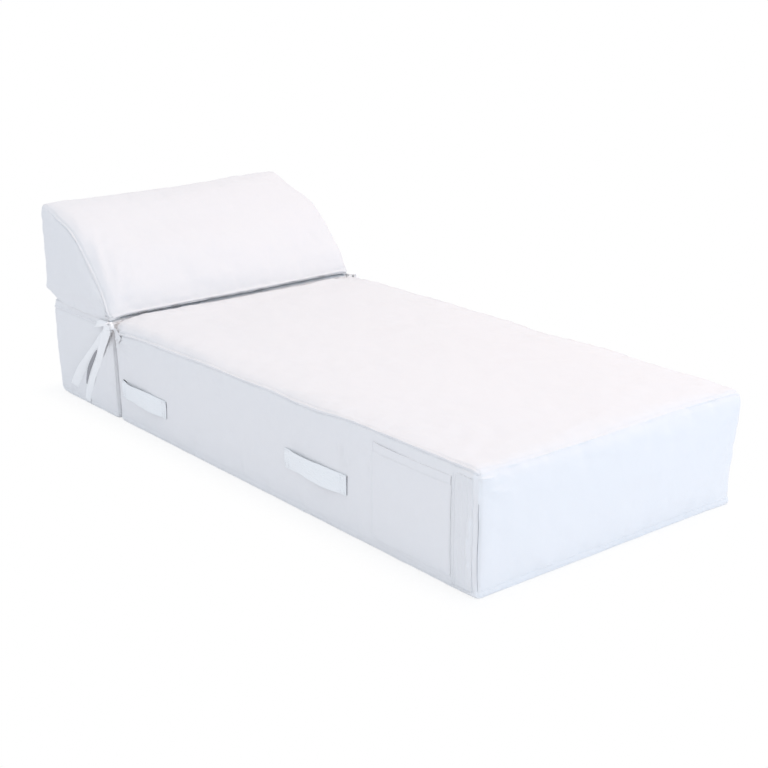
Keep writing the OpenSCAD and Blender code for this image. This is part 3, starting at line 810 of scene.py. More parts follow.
# Pulled folds on each face: from where to where across the face, width and height
MAIN_FOLDS = {
    "top": [
        (940, -420, 820, -250, 22, 1.8), (960, -380, 900, -140, 18, 1.3),
        (980, 380, 840, 240, 24, 1.5), (-560, -400, -380, -200, 26, 1.5),
        (-540, -380, -500, -160, 18, 1.2), (-560, 420, -430, 330, 22, 1.6),
        (640, -435, 760, -340, 16, 1.2), (240, -435, 420, -380, 20, 1.5),
        (-180, -430, 60, -360, 24, 1.4), (560, 60, 900, 120, 40, 1.2),
        (60, 180, 420, 60, 46, 1.1), (-380, 60, -80, 180, 44, 1.1), (300, 330, 620, 390, 30, 1.2),
        (640, 330, 760, 410, 22, 1.4), (500, 300, 600, 400, 20, 1.2),
        (980, -160, 930, 120, 20, 1.3), (-480, 120, -440, 360, 22, 1.2),
        (560, -425, 640, -392, 8, 1.4), (690, -428, 790, -398, 8, 1.3),
        (400, -424, 470, -396, 8, 1.3),
    ],
    "near": [
        (-300, 150, -190, 262, 9, 1.6), (-310, 165, -120, 238, 11, 1.2),
        (300, 168, 390, 255, 9, 1.2), (545, 175, 575, 262, 8, 1.6), (520, 188, 548, 280, 7, 1.5),
        (548, 128, 560, 40, 9, 1.3), (532, 175, 529, 262, 4.5, 2.6),
        (549, 172, 554, 246, 4.5, 2.3), (568, 168, 580, 236, 5, 1.8),
        (536, 100, 534, 60, 4.5, 1.8), (-60, 282, 60, 190, 14, 1.3),
        (150, 285, 270, 205, 14, 1.4), (330, 290, 420, 235, 12, 1.2),
        (600, 290, 680, 210, 13, 1.0), (-575, 270, -520, 180, 11, 1.8),
        (-560, 262, -470, 214, 8, 1.3), (-160, 60, 120, 120, 22, 0.9),
        (180, 50, 420, 90, 20, 0.9),
    ],
    "foot": [
        (-449, 292, -404, 290, 4.0, 3.6), (-449, 264, -398, 258, 4.5, 3.4),
        (-440, 279, -380, 281, 5.0, 1.8), (-436, 246, -350, 258, 8.0, 1.3),
        (-438, 290, -330, 205, 15, 1.7), (-440, 268, -290, 235, 12, 1.5),
        (-430, 200, -340, 150, 16, 1.3), (-420, 60, -260, 110, 20, 1.3),
        (430, 285, 310, 190, 18, 1.9), (440, 280, 376, 262, 6, 1.8), (442, 258, 370, 250, 6, 1.5),
        (435, 240, 380, 120, 16, 1.5), (-180, 285, 40, 265, 13, 1.2), (120, 60, 330, 95, 22, 1.3),
        (-60, 200, 180, 170, 30, 1.3), (40, 285, 250, 250, 16, 1.3),
    ],
}
MAIN_FOLDS["far"] = [
    (MIRROR_X - xa, za, MIRROR_X - xb, zb, w, h) for xa, za, xb, zb, w, h in MAIN_FOLDS["near"]
]


def main_relief(lattice, p):
    h = panel_relief(lattice, p, 11, 1.5, 0.6, 0.7) + folds(lattice, p, MAIN_FOLDS)
    # The patch that the tie gathers at the near and far head corners
    for side in (-1, 1):
        gap = np.linalg.norm((p - [-566, side * 432, 296]) / [58, 52, 42], axis=1)
        h = h + 3.0 * np.exp(-(gap**2)) * waves(p, 83 + side, 40, 11, 28, 0.3)
    # Small gathers beside the facing
    _, y, z = p.T
    gathers = np.exp(-((y + SIDE_Y) / 38)) * bell(z - 165, 62)
    gathers = gathers * np.sin(z * 2 * math.pi / 11.5 + 0.02 * y)
    h = h + 0.7 * lattice.on("foot") * gathers
    h = np.where(lattice.on("head") > 0, np.clip(h, -0.5, 1.0), h)
    return h * zip_flat(lattice, p, "far", main_tapes)


main = block_cover(
    "main", (MAIN_X0, MAIN_X1), crown=9.0, ends=(0.0, 6.0), seed=3, step=8.6,
    extra=(18.4, 20.4, 22.4), shapes=main_shapes, weights=main_weights, low={},
    joint=main_joint, relief=main_relief, cap=5.0, margin=1.8, zipped=("far", main_tapes),
)

HEAD_SEAM = 21.5  # how far the head cover's top seam lies down its long sides
HEAD_SHAPES = {
    "near_top": (2.1, 7.0),
    "far_top": (2.1, 7.0),
    "head_top": (8.2, 28.0),
    "foot_top": (4.7, 16.0),
    "foot_near": (4.1, 14.0),
    "foot_far": (4.1, 14.0),
    "head_near": (7.3, 25.0),
    "head_far": (7.3, 25.0),
    "head_low": (7.3, 25.0),
}
HEAD_WEIGHTS = {
    "near_top": 0.75, "far_top": 0.75, "head_top": 0.7, "foot_top": 0.25,
    "foot_near": 0.45, "foot_far": 0.45, "head_near": 0.35, "head_far": 0.35,
    "near_low": 0.4, "far_low": 0.4, "foot_low": 0.3, "head_low": 0.4,
}


def head_joint(lattice, p):
    """The joint face leans as the main block's does, and the rear draws in at the floor."""
    x, y, z = p.T
    out = np.zeros((len(p), 3))
    out[:, 0] += (0.5 - 9.3 * z / BLOCK_H) * bell(x - HEAD_X1, 46)
    rear = smooth((HEAD_X0 + 90 - x) / 90)
    out[:, 0] += 9.0 * rear * (1 - smooth(z / 165))
    sides = ramp(np.abs(y), 390, 60) * np.sign(y)
    out[:, 1] -= 4.0 * rear * sides * (1 - smooth(z / 120))
    return out


HEAD_FOLDS = {
    "near": [
        (-612, 285, -700, 200, 13, 2.0), (-620, 270, -800, 225, 16, 1.7),
        (-615, 262, -660, 130, 10, 1.5), (-960, 275, -860, 200, 15, 1.4),
        (-950, 60, -850, 130, 18, 1.6), (-700, 40, -640, 120, 14, 1.2),
        (-972, 26, -900, 48, 8, 1.8),
    ],
    "head": [
        (-430, 285, -300, 190, 18, 1.8), (430, 285, 320, 170, 18, 1.8),
        (-200, 270, 60, 240, 22, 1.3), (60, 120, 300, 160, 26, 1.4),
    ],
}
HEAD_FOLDS["far"] = HEAD_FOLDS["near"]


def head_relief(lattice, p):
    h = panel_relief(lattice, p, 29, 1.6, 0.6, 0.8)
    h = np.where(lattice.on("foot") > 0, np.clip(h, -0.5, 1.0), h)
    h = h + folds(lattice, p, HEAD_FOLDS)
    h = h * np.where(lattice.on("top") > 0, 0.25, 1)
    return h * zip_flat(lattice, p, "head", head_tapes)


head = block_cover(
    "head", (HEAD_X0, HEAD_X1), crown=3.0, ends=(12.0, 0.0), seed=41, step=7.6,
    extra=(17.6, 19.2, 20.8, 22.4, 24.0, 25.6, 27.4, 29.6),
    shapes=lambda p: HEAD_SHAPES, weights=lambda p: HEAD_WEIGHTS,
    low={"near_top": HEAD_SEAM, "far_top": HEAD_SEAM},
    joint=head_joint, relief=head_relief, cap=4.0, margin=4.6, zipped=("head", head_tapes),
)

# Bolster: the same lattice, mapped onto a wedge with a curved front

chord = math.hypot(BOLSTER_D, BOLSTER_H)
arc_r = chord**2 / (8 * BOLSTER_BULGE) + BOLSTER_BULGE / 2
arc_normal = np.array([BOLSTER_H, BOLSTER_D]) / chord
arc_centre = np.array([-BOLSTER_D, BOLSTER_H]) / 2 - (arc_r - BOLSTER_BULGE) * arc_normal
round_r = arc_r - EDGE_R
arc_first = math.asin((EDGE_R - arc_centre[1]) / round_r)
arc_last = math.acos((EDGE_R - BOLSTER_D - arc_centre[0]) / round_r)
NOSE_ANGLE = math.radians(-26)
slant_turn = math.atan2(SLANT_H, SLANT_D)
nose = arc_centre + round_r * np.array([math.cos(arc_first), math.sin(arc_first)])


def wedge_points(lattice, size, rise):
    """The bolster's points, from a box lattice of that size, raised along the outline's normal."""
    q, n = lattice.q, lattice.n
    s = (q[:, 0] - EDGE_R) / (size[0] - 2 * EDGE_R)
    t = (q[:, 2] - EDGE_R) / (size[2] - 2 * EDGE_R)
    angle = arc_last + (arc_first - arc_last) * s
    top = arc_centre + round_r * np.stack([np.cos(angle), np.sin(angle)], 1)
    back = EDGE_R - BOLSTER_D
    low_x = back + (nose[0] - back) * s
    from_back = np.clip((low_x - back) / SLANT_D, 0, 1)
    low = np.stack([low_x, EDGE_R + SLANT_H * (1 - from_back) ** 1.25], 1)
    inner = low + (top - low) * t[:, None]
    low_angle = math.radians(270) - slant_turn * (1 - smooth(from_back))
    # Each quarter turn of the box's normal becomes the turn between two sides of the wedge
    flat = np.arctan2(n[:, 2], n[:, 0]) % (2 * math.pi)
    quarter = math.pi / 2
    share = (flat % quarter) / quarter
    ends = (NOSE_ANGLE, angle, math.pi, low_angle, 2 * math.pi + NOSE_ANGLE)
    turns = [a + (b - a) * share for a, b in zip(ends, ends[1:])]
    turn = np.select([flat < k * quarter - 1e-9 for k in (1, 2, 3)], turns[:3], turns[3])
    across = np.hypot(n[:, 0], n[:, 2])
    way = np.stack([np.cos(turn) * across, n[:, 1], np.sin(turn) * across], 1)
    middle = np.stack([inner[:, 0] + TIE_X, q[:, 1] - SIDE_Y, inner[:, 1] + BOLSTER_Z], 1)
    front = np.stack([np.cos(angle), np.zeros_like(angle), np.sin(angle)], 1)
    # The front goes on straight past the nose's rounding
    past = (angle - turn + math.pi) % (2 * math.pi) - math.pi
    keen = 1 / np.cos(np.clip(past, 0, math.pi / 4)) - 1
    keen = keen * (1 - ramp(past, math.pi / 4, 0.9)) * (s > 0.999)
    return middle + way * ((EDGE_R + rise) * (1 + keen))[:, None], front


BOLSTER_FOLDS = {
    "near": [
        (-1000, 560, -900, 470, 14, 1.6), (-990, 380, -880, 430, 16, 1.4),
        (-650, 335, -780, 380, 12, 1.8), (-690, 420, -720, 330, 12, 1.6),
        (-760, 440, -770, 340, 13, 1.3), (-1005, 500, -940, 400, 12, 1.2),
    ],
}
BOLSTER_FOLDS["far"] = BOLSTER_FOLDS["near"]
FRONT_FOLDS = {  # along the box and across the bed
    "top": [
        (405, -432, 215, -404, 13, 4.2), (408, -424, 265, -362, 15, 3.8),
        (410, -408, 325, -318, 14, 2.8), (300, -425, 170, -388, 12, 2.6),
        (190, -428, 90, -402, 11, 1.8), (250, -410, 215, -340, 10, 1.6),
        (60, -430, 110, -250, 20, 1.3), (380, 420, 260, 350, 16, 1.7),
        (150, 60, 240, 260, 34, 1.4), (280, -120, 330, 160, 28, 1.4), (60, 120, 90, 380, 24, 1.3),
        (120, -200, 300, -150, 30, 1.2), (70, 330, 150, 400, 16, 1.6),
    ],
}


def bolster_cover():
    size = (BOLSTER_D, 2 * SIDE_Y, BOLSTER_H)
    fine, coarse = lattices(size, (7.4, 8.6, 8.0))

    def crowned(lattice):
        sx, sy, sz = (2 * lattice.c[:, a] / size[a] - 1 for a in range(3))
        front = 11.0 * bump(sx) * bump(sy, 6) * lattice.on("top")
        back = 3.0 * bump(sy) * bump(sz) * lattice.on("head")
        sides = 4.0 * bump(sx, 2) * bump(sz, 2) * (lattice.on("near") + lattice.on("far"))
        return front + back + sides

    def place(lattice):
        return wedge_points(lattice, size, crowned(lattice))[0]

    base, front = wedge_points(fine, size, crowned(fine))
    base = base + cloth_shift(fine, coarse, place, 5.0)
    s = fine.c[:, 0] / size[0]
    # The long seams lie round on the front; their edges roll over softly
    for name, sign in (("near_top", 1), ("far_top", -1)):
        radius = 18 + 15 * ramp(s, 0.02, 0.12) * (1 - 0.55 * ramp(s, 0.8, 0.18))
        side, face = reround(fine, *EDGES[name], 0.42 * radius, radius)
        base[:, 1] += sign * side
        base -= front * face[:, None]
    back_depth, crest_depth = reround(fine, *EDGES["head_top"], 8.2, 28.0)
    base[:, 0] += back_depth
    base -= front * crest_depth[:, None]
    # Its side panels swell out below the crest, more so at the seam
    for end, sign in ((0, -1), (1, 1)):
        near_seam = bell(from_side(fine, 1, end), 150) * bell(from_side(fine, 2, 1), 90)
        swell = (11.0 + 9.0 * end) * bell(s - 0.44 - 0.08 * end, 0.19 + 0.11 * end)
        swell = swell - 3.0 * bell(s - 0.9, 0.08)
        swell = swell + 7.0 * smooth(s / 0.12) * smooth((1 - s) / 0.14)
        if end:
            swell = swell + 10.0 * bell(s - 0.9, 0.1) - 11.0 * bell(s - 0.30, 0.16)
            base[:, 1] += sign * 6.0 * near_seam * bell(s - 0.5, 0.3)
        else:
            swell = swell + 8.0 * bell(s - 0.42, 0.18)
        base += front * (swell * near_seam)[:, None]
    # The front stands full, and rolls over broadly to its near seam
    from_near = from_side(fine, 1, 0)
    full = 1 - np.exp(-((from_near / 58) ** 1.5))
    full = full * ramp(s, 0.40, 0.25) * (1 - ramp(s, 0.86, 0.14)) * fine.on("top")
    full = full * smooth((size[1] - 120 - fine.c[:, 1]) / 300)
    base += front * (16.5 * full)[:, None]
    # The far crest corner is drawn in
    corner = np.exp(-(((fine.c - [30, size[1], size[2]]) / [95, 85, 70]) ** 2).sum(1))
    crest = np.exp(-(((fine.c - [50, size[1] - 120, size[2]]) / [80, 130, 50]) ** 2).sum(1))
    base[:, 1] -= 14.0 * corner
    base[:, 2] += 7.0 * crest
    # Its nose hangs down to the knots at both ends
    for end in (0, 1):
        droop = bell(from_side(fine, 1, end), 30 - 12 * end) * ramp(s, 0.86, 0.1)
        base[:, 2] -= (7.0 - 4.0 * end) * droop
    # The low edges of the side panels hang over the head block's shoulder
    low = from_side(fine, 2, 0)
    for end, sign in ((0, -1), (1, 1)):
        side, face = reround(fine, (1, end), (2, 0), 1.8, 6.0)
        lip = ramp(fine.c[:, 0], SLANT_D + 6, 40) * bell(low, 13)
        lip = lip * bell(from_side(fine, 1, end), 4.5)
        base[:, 1] += -sign * side + sign * 1.2 * lip
        base[:, 2] += face - 6.0 * lip
    weights = {
        "near_top": 0.3 + 0.95 * ramp(s, 0.12, 0.16), "far_top": 0.9,
        "head_top": 0.35, "foot_top": 0.0,
        "near_low": 0.3, "far_low": 0.3, "head_low": 0.5, "foot_low": 0.0,
        "head_near": 0.6, "head_far": 0.6, "foot_near": 0.0, "foot_far": 0.0,
    }
    high, groove = ridges(fine, base, weights, 57, {})
    under = fine.on("under")
    h = panel_relief(fine, base, 61, 1.5, 0.6, 0.8)
    h = h + folds(fine, base, BOLSTER_FOLDS)
    h = h + folds(fine, np.stack([fine.c[:, 0], base[:, 1]], 1), FRONT_FOLDS)
    h = h * zip_flat(fine, base, "head", bolster_tapes)
    # The nose is a plain turned edge
    h = h * (1 - 0.6 * ramp(fine.c[:, 0], 400, 20))
    lifted = (high + h) * (1 - under)
    points = base + face_normals(fine, base) * lifted[:, None]
    inside = (under > 0) & (np.minimum(from_side(fine, 1, 0), from_side(fine, 1, 1)) > 6)
    points[inside, 2] = np.maximum(points[inside, 2], BOLSTER_Z)
    seat_zip(fine, points, "head", bolster_tapes)
    clear_liner(points, "bolster_liner", 5.2)
    return Cover("bolster", fine, points, groove, "bolster", 0.8)


bolster = bolster_cover()

# Rows of stitches


def resample(points, pitch, trim=0.0):
    """Even places along a line of points, and the line's way there."""
    along = along_line(points)
    count = max(2, int((along[-1] - 2 * trim) / pitch))
    at = np.linspace(trim, along[-1] - trim, count)
    spots = np.stack([np.interp(at, along, points[:, k]) for k in range(3)], 1)
    return spots, unit(np.gradient(spots, axis=0))


# Kinds of stitches: pitch, length, width, height over the line, and the part left free at its ends
COVER_STITCH = (5.2, 3.5, 0.95, 0.15, 6.0)
ZIP_STITCH = (5.2, 3.5, 0.8, 0.1, 2.0)
PATCH_STITCH = (4.6, 3.2, 0.9, 0.1, 1.0)
HANDLE_STITCH = (4.0, 2.9, 0.9, 0.1, 0.5)
TAB_STITCH = (3.6, 2.6, 0.8, 0.1, 0.5)
ROUND = 5  # corners of a stitch's section
stitches = {}


def stitch(body, line, outward, kind=COVER_STITCH):
    """Adds a row of stitches along a line, seen from outward."""
    pitch, length, width, lift, trim = kind
    spots, ways = resample(line, pitch, trim)
    outward = np.broadcast_to(np.asarray(outward, float), spots.shape)
    side = unit(np.cross(outward, ways))
    up = np.cross(ways, side)
    turn = np.arange(ROUND) * 2 * math.pi / ROUND + 0.3
    r, low = width / 2, -width * 0.35
    rings = [(x, r * math.cos(a), r * math.sin(a)) for x in (-length / 4, length / 4) for a in turn]
    shape = np.array([(-length / 2, 0, low), *rings, (length / 2, 0, low)])
    frames = np.stack([ways, side, up], 1)
    stitches.setdefault(body, []).append((spots + up * lift)[:, None] + shape @ frames)


def sew(body, name):
    """Makes one piece of all the stitches of a body."""
    n = ROUND
    shape = [(0, 1 + (i + 1) % n, 1 + i) for i in range(n)]
    shape += [(1 + i, 1 + (i + 1) % n, n + 1 + (i + 1) % n, n + 1 + i) for i in range(n)]
    shape += [(2 * n + 1, n + 1 + i, n + 1 + (i + 1) % n) for i in range(n)]
    points = np.concatenate(stitches[body])
    step = points.shape[1]
    faces = [[step * k + i for i in face] for k in range(len(points)) for face in shape]
    dress(mesh_object(name, points.reshape(-1, 3), faces), THREAD, body, "canvas")


TOP_STITCH = 8.4  # how far a topstitch lies from its seam, over the surface


def stitch_block(cover):
    """Topstitches beside the seams of a block's cover, and its hem's row round the floor."""
    size = cover.lattice.size
    c = line_at(TOP_STITCH)
    if cover is main:
        for side, y in ((-1, c), (1, size[1] - c)):
            stitch(cover.body, cover.row("top", 1, y), (0, side * 0.6, 0.8))
    else:
        for face, out in (("near", (0, -1, 0)), ("far", (0, 1, 0))):
            stitch(cover.body, cover.row(face, 2, size[2] - HEAD_SEAM - 8.1), out)
    for x, out in ((c, -0.5), (size[0] - c, 0.5)):
        stitch(cover.body, cover.row("top", 0, x), (out, 0, 1))
    for face, (axis, side, _, _) in FACES.items():
        if axis < 2:
            out = np.zeros(3)
            out[axis] = 1 if side else -1
            stitch(cover.body, cover.row(face, 2, HEM_H - 0.9), out)


stitch_block(main)
stitch_block(head)
c = line_at(TOP_STITCH)
for y in (c, 2 * SIDE_Y - c):
    stitch("bolster", bolster.row("top", 1, y), (0.6, 0, 0.8))
stitch("bolster", bolster.row("top", 0, c), (0.3, 0, 1))
stitch("bolster", bolster.row("head", 2, BOLSTER_H - c), (-1, 0, 0))

# Places on the side panels


class Panel:
    """Reads where a side face of a cover lies, at places given along and up the bed."""

    def __init__(self, cover, face, x0):
        self.sign = -1.0 if face == "near" else 1.0
        grid = cover.grid(face)
        self.xs, self.zs = cover.lattice.lines[0] + x0, cover.lattice.lines[2]
        self.out = grid[..., 1] * self.sign - SIDE_Y

    def off(self, x, z):
        """How far the cover lies outside its box at places x, z."""
        cells, shares = [], []
        for at, lines in ((x, self.xs), (z, self.zs)):
            at = np.asarray(at, float)
            i = np.clip(np.searchsorted(lines, at) - 1, 0, len(lines) - 2)
            cells.append(i)
            shares.append(np.clip((at - lines[i]) / (lines[i + 1] - lines[i]), 0, 1))
        (i, j), (a, b), o = cells, shares, self.out
        low = o[i, j] * (1 - a) + o[i + 1, j] * a
        high = o[i, j + 1] * (1 - a) + o[i + 1, j + 1] * a
        return low * (1 - b) + high * b

    def highest(self, x, z, half_x, half_z):
        """The highest place under a band that reaches half_x, half_z to both sides of x, z."""
        shares = (-1, -0.5, 0, 0.5, 1)
        return np.max([self.off(x + k * half_x, z + k * half_z) for k in shares], axis=0)

    def point(self, x, z, out):
        """World points at height out over the cover."""
        y = self.sign * (SIDE_Y + self.off(x, z) + out)
        return np.stack(np.broadcast_arrays(x, y, z), -1).astype(float)


PANELS = {"near": Panel(main, "near", MAIN_X0), "far": Panel(main, "far", MAIN_X0)}
HEAD_PANELS = {"near": Panel(head, "near", HEAD_X0), "far": Panel(head, "far", HEAD_X0)}


def strip(name, centre, across, width, thick, count=22, ribs=0, rib_high=0.0, curl=0.0):
    """A woven band along a line of points. across is the band's own sideways direction."""
    centre = np.asarray(centre, float)
    way = unit(np.gradient(centre, axis=0))
    up = unit(np.cross(way, unit(np.asarray(across, float))))
    across = np.cross(up, way)
    half_width = np.broadcast_to(width, len(centre)) / 2
    v = np.sin(np.linspace(-math.pi / 2, math.pi / 2, count))
    v = np.sign(v) * np.abs(v) ** 0.9
    half = thick / 2 * (1 - np.abs(v) ** 10) ** 0.5 + thick * 0.02
    rib = rib_high * np.cos(np.pi * ribs * v) * (np.abs(v) < 0.93) if ribs else 0
    bend = curl * v**2
    # The section runs over the band's top and back under it
    side = np.concatenate([v, v[::-1]])
    height = np.concatenate([half + rib + bend, (bend - half)[::-1]])
    spread_out = half_width[:, None] * side
    points = centre[:, None] + across[:, None] * spread_out[..., None]
    points = points + up[:, None] * height[:, None]
    along = along_line(centre)
    spots = np.stack(np.broadcast_arrays(along[:, None], spread_out), -1).reshape(-1, 2) * MM
    m, last = len(side), (len(centre) - 1) * len(side)
    faces = []
    for i in range(0, last, m):
        faces += [(i + k, i + (k + 1) % m, i + m + (k + 1) % m, i + m + k) for k in range(m)]
    for k in range(count - 1):
        faces.append((k, m - 1 - k, m - 2 - k, k + 1))
    for k in range(last, last + count - 1):
        faces.append((k, k + 1, 2 * last + m - 2 - k, 2 * last + m - 1 - k))
    # Painted shade along both edges of the band, through the groove attribute
    groove = np.tile(np.abs(side) ** 14 * 0.5, len(centre))
    return mesh_object(name, points.reshape(-1, 3), faces, spots[np.array(faces).ravel()], groove)


# Handles

HANDLES = {  # side, middle along the bed and up, and which way the slack part is fuller
    "near_head_handle": ("near", -419.65, 112.0, -0.10),
    "near_foot_handle": ("near", 427.35, 138.0, 0.12),
    "far_head_handle": ("far", -419.65, 112.0, 0.05),
    "far_foot_handle": ("far", 427.35, 138.0, -0.06),
}
HANDLE_LEN, HANDLE_END, WEB_W, WEB_T = 260.0, 24.0, 54.0, 2.2
HANDLE_BOW, HANDLE_DROOP = 4.2, 1.0


def handle_line(skew):
    """(along, out, droop) of a handle's band: folded under at both ends and slack between them."""
    half, end = HANDLE_LEN / 2, HANDLE_END
    low, high = WEB_T / 2 + 0.1, WEB_T * 1.5 + 0.4
    line = [(-half + end - 2, low, 0), (-half + end / 2, low, 0), (-half + 3, low, 0)]
    mid, r = (low + high) / 2, (high - low) / 2
    for a in np.radians(np.linspace(-90, -270, 7)):
        line.append((-half + 2.2 + 2.0 * math.cos(a), mid + r * math.sin(a), 0))
    line += [(-half + 4, high, 0), (-half + end / 2, high, 0), (-half + end - 1, high, 0)]
    free = half - end
    for s in np.linspace(0.03, 0.97, 40):
        rise = math.sin(math.pi * s ** (1 + skew)) ** 0.8
        line.append(((2 * s - 1) * free, high + HANDLE_BOW * rise, HANDLE_DROOP * rise))
    mirrored = [(-x, o, d) for x, o, d in line[:13]]
    return line + mirrored[::-1]


for name, (side, x0, z0, skew) in HANDLES.items():
    panel = PANELS[side]
    line = np.array(handle_line(skew))
    x, out, z = x0 + line[:, 0], line[:, 1], z0 - line[:, 2]
    rest = panel.off(x, np.full_like(x, z0))
    full = np.maximum(blur(panel.highest(x, z0, 0, WEB_W / 2), 3), 1.0)
    free = np.clip(out / 8, 0, 1)
    y = panel.sign * (SIDE_Y + out + rest * (1 - free) + full * free)
    centre = np.stack([x, y, z], 1)
    slack = np.clip((out - 3.5) / 3.5, 0, 1)
    share = np.clip((line[:, 0] + HANDLE_LEN / 2) / HANDLE_LEN, 0, 1)
    # The upper edge stands off at the head's end, and the lower edge towards the foot
    lean = 0.20 * (1 - ramp(share, 0.14, 0.3)) - 0.13 * ramp(share, 0.4, 0.25)
    lean = lean * slack * (1.0 if side == "near" else 0.5)
    across = np.stack([0.02 * np.sin(x / 30), panel.sign * lean, np.ones_like(x)], 1)
    curl = 0.8 * panel.sign
    made = strip(name + "_webbing", centre, across, WEB_W, WEB_T, 30, 8, 0.10, curl)
    dress(made, WEBBING, "main_block", "webbing", name)
    # Each end is sewn down with a box and a cross
    inner, outer, high = HANDLE_LEN / 2 - HANDLE_END + 3, HANDLE_LEN / 2 - 4, WEB_W / 2 - 4
    for end in (-1, 1):
        rows = [((dx, -high), (dx, high), 12) for dx in (inner, outer)]
        for up in (-1, 1):
            rows.append(((inner, up * high), (outer, up * high), 6))
            rows.append(((inner, up * (1 - high)), (outer, up * (high - 1)), 10))
        for (x_a, z_a), (x_b, z_b), count in rows:
            xs, zs = x0 + end * np.linspace(x_a, x_b, count), z0 + np.linspace(z_a, z_b, count)
            row = panel.point(xs, zs, WEB_T * 2 + 0.55)
            stitch("main_block", row, (0, panel.sign, 0), HANDLE_STITCH)

# Pocket on the near side

near = PANELS["near"]
POCKET_X0, POCKET_Z0 = 655.35, 32.0
POCKET_W, POCKET_H, POCKET_R, POCKET_T = 290.0, 250.0, 14.0, 0.7


def pocket_out(u, v):
    """How far the pocket's cloth stands off the cover; u and v run from 0 to 1 across and up."""
    edge = np.minimum(np.minimum(u, 1 - u) * POCKET_W, v * POCKET_H)
    calm = 1 - 0.85 * ramp(u, 0.25, 0.3) * ramp(v, 0.6, 0.3)
    slack = 0.9 * smooth(edge / 46) * (0.5 + 0.5 * smooth(v * 1.3)) * calm
    ripple = 0.5 * smooth(edge / 30) * np.sin(9.5 * u + 2.1 * v) * (0.4 + 0.6 * v) * calm
    mouth = 1.6 * bell(u - 0.2, 0.15) * ramp(v, 0.86, 0.14)
    return POCKET_T / 2 + 0.1 + slack + ripple + mouth


def edge_cells(count, length, fine):
    """Shares along a side, with close lines near both ends."""
    close = np.array(fine) / length
    even = np.linspace(close[-1], 1 - close[-1], count)[1:-1]
    return np.concatenate([close, even, 1 - close[::-1]])


def cloth_sheet(name, us, vs, place, thick):
    """A closed sheet of cloth over a grid of shares, thick from its front to its back."""
    front = place(*np.meshgrid(us, vs, indexing="ij"))
    normal = unit(np.cross(np.gradient(front, axis=0), np.gradient(front, axis=1)))
    if (normal[..., 1].mean() > 0) == (front[..., 1].mean() < 0):
        normal = -normal
    offset = normal * thick / 2
    points = np.concatenate([(front + offset).reshape(-1, 3), (front - offset).reshape(-1, 3)])
    count = len(us) * len(vs)
    ids = np.arange(count).reshape(len(us), len(vs))
    fronts = np.stack(cell_corners(ids), -1).reshape(-1, 4)
    loop = np.concatenate([ids[:, 0], ids[-1, 1:], ids[-2::-1, -1], ids[0, -2:0:-1]])
    after = np.roll(loop, -1)
    rim = np.stack([after, loop, loop + count, after + count], 1)
    faces = np.concatenate([fronts, fronts[:, ::-1] + count, rim])
    spots = np.meshgrid(along_line(front[:, 0]) * MM, along_line(front[0]) * MM, indexing="ij")
    spots = np.tile(np.stack(spots, -1).reshape(-1, 2), (2, 1))
    made = mesh_object(name, points, faces, spots[faces].reshape(-1, 2))
    bm = bmesh.new()
    bm.from_mesh(made.data)
    bmesh.ops.recalc_face_normals(bm, faces=bm.faces)
    bm.to_mesh(made.data)
    bm.free()
    return made


def pocket_place(u, v):
    """The pocket's cloth: round at its low corners, and its mouth hangs a little."""
    z = POCKET_Z0 + v * POCKET_H
    up = np.clip(POCKET_R - v * POCKET_H, 0, POCKET_R)
    inset = POCKET_R - np.sqrt(POCKET_R**2 - up**2)
    x = POCKET_X0 + inset + u * (POCKET_W - 2 * inset)
    z = z - 3.4 * np.sin(np.pi * u) * ramp(v, 0.7, 0.3)
    return near.point(x, z, pocket_out(u, v))


close = (0, 1.5, 3, 5, 7, 9, 12, 18)
us, vs = edge_cells(44, POCKET_W, close), edge_cells(38, POCKET_H, close)
pocket = cloth_sheet("pocket_panel", us, vs, pocket_place, POCKET_T)
dress(pocket, CANVAS, "main_block", "canvas", "side_pocket")
HEM_W, HEM_T = 22.0, 0.5


def hem_place(u, v):
    p = pocket_place(0.002 + 0.996 * u, 1 - (1 - v) * HEM_W / POCKET_H)
    fold_over = 0.15 * bell(v - 0.97, 0.05) + 0.1 * bell(v - 0.03, 0.05)
    p[..., 1] -= POCKET_T / 2 + HEM_T / 2 + fold_over
    return p


us = edge_cells(44, POCKET_W, (0, 3, 8, 16))
hem = cloth_sheet("pocket_hem_band", us, np.linspace(0, 1, 15), hem_place, HEM_T)
dress(hem, CANVAS, "main_block", "tie_tape", "pocket_hem")


def sew_patch(place, us, vs, out):
    """A row of stitches on a patch, at shares us, vs of it and out in front of its place."""
    line = place(*np.broadcast_arrays(np.asarray(us, float), np.asarray(vs, float)))
    line[:, 1] -= out
    stitch("main_block", line, (0, -1, 0), PATCH_STITCH)


up, over = np.linspace(0.06, 0.98, 40), np.linspace(0.05, 0.95, 40)
inset = 5.0 / POCKET_W
us = np.concatenate([np.full(40, inset), over, np.full(40, 1 - inset)])
vs = np.concatenate([up[::-1], np.full(40, 0.03), up])
sew_patch(pocket_place, us, vs, POCKET_T / 2)
sew_patch(hem_place, np.linspace(0.01, 0.99, 60), 0.13, HEM_T / 2)

# Facing between the pocket and the foot corner

FACING_X0, FACING_Z0, FACING_W, FACING_H = 947.35, 16.0, 66.0, 278.0


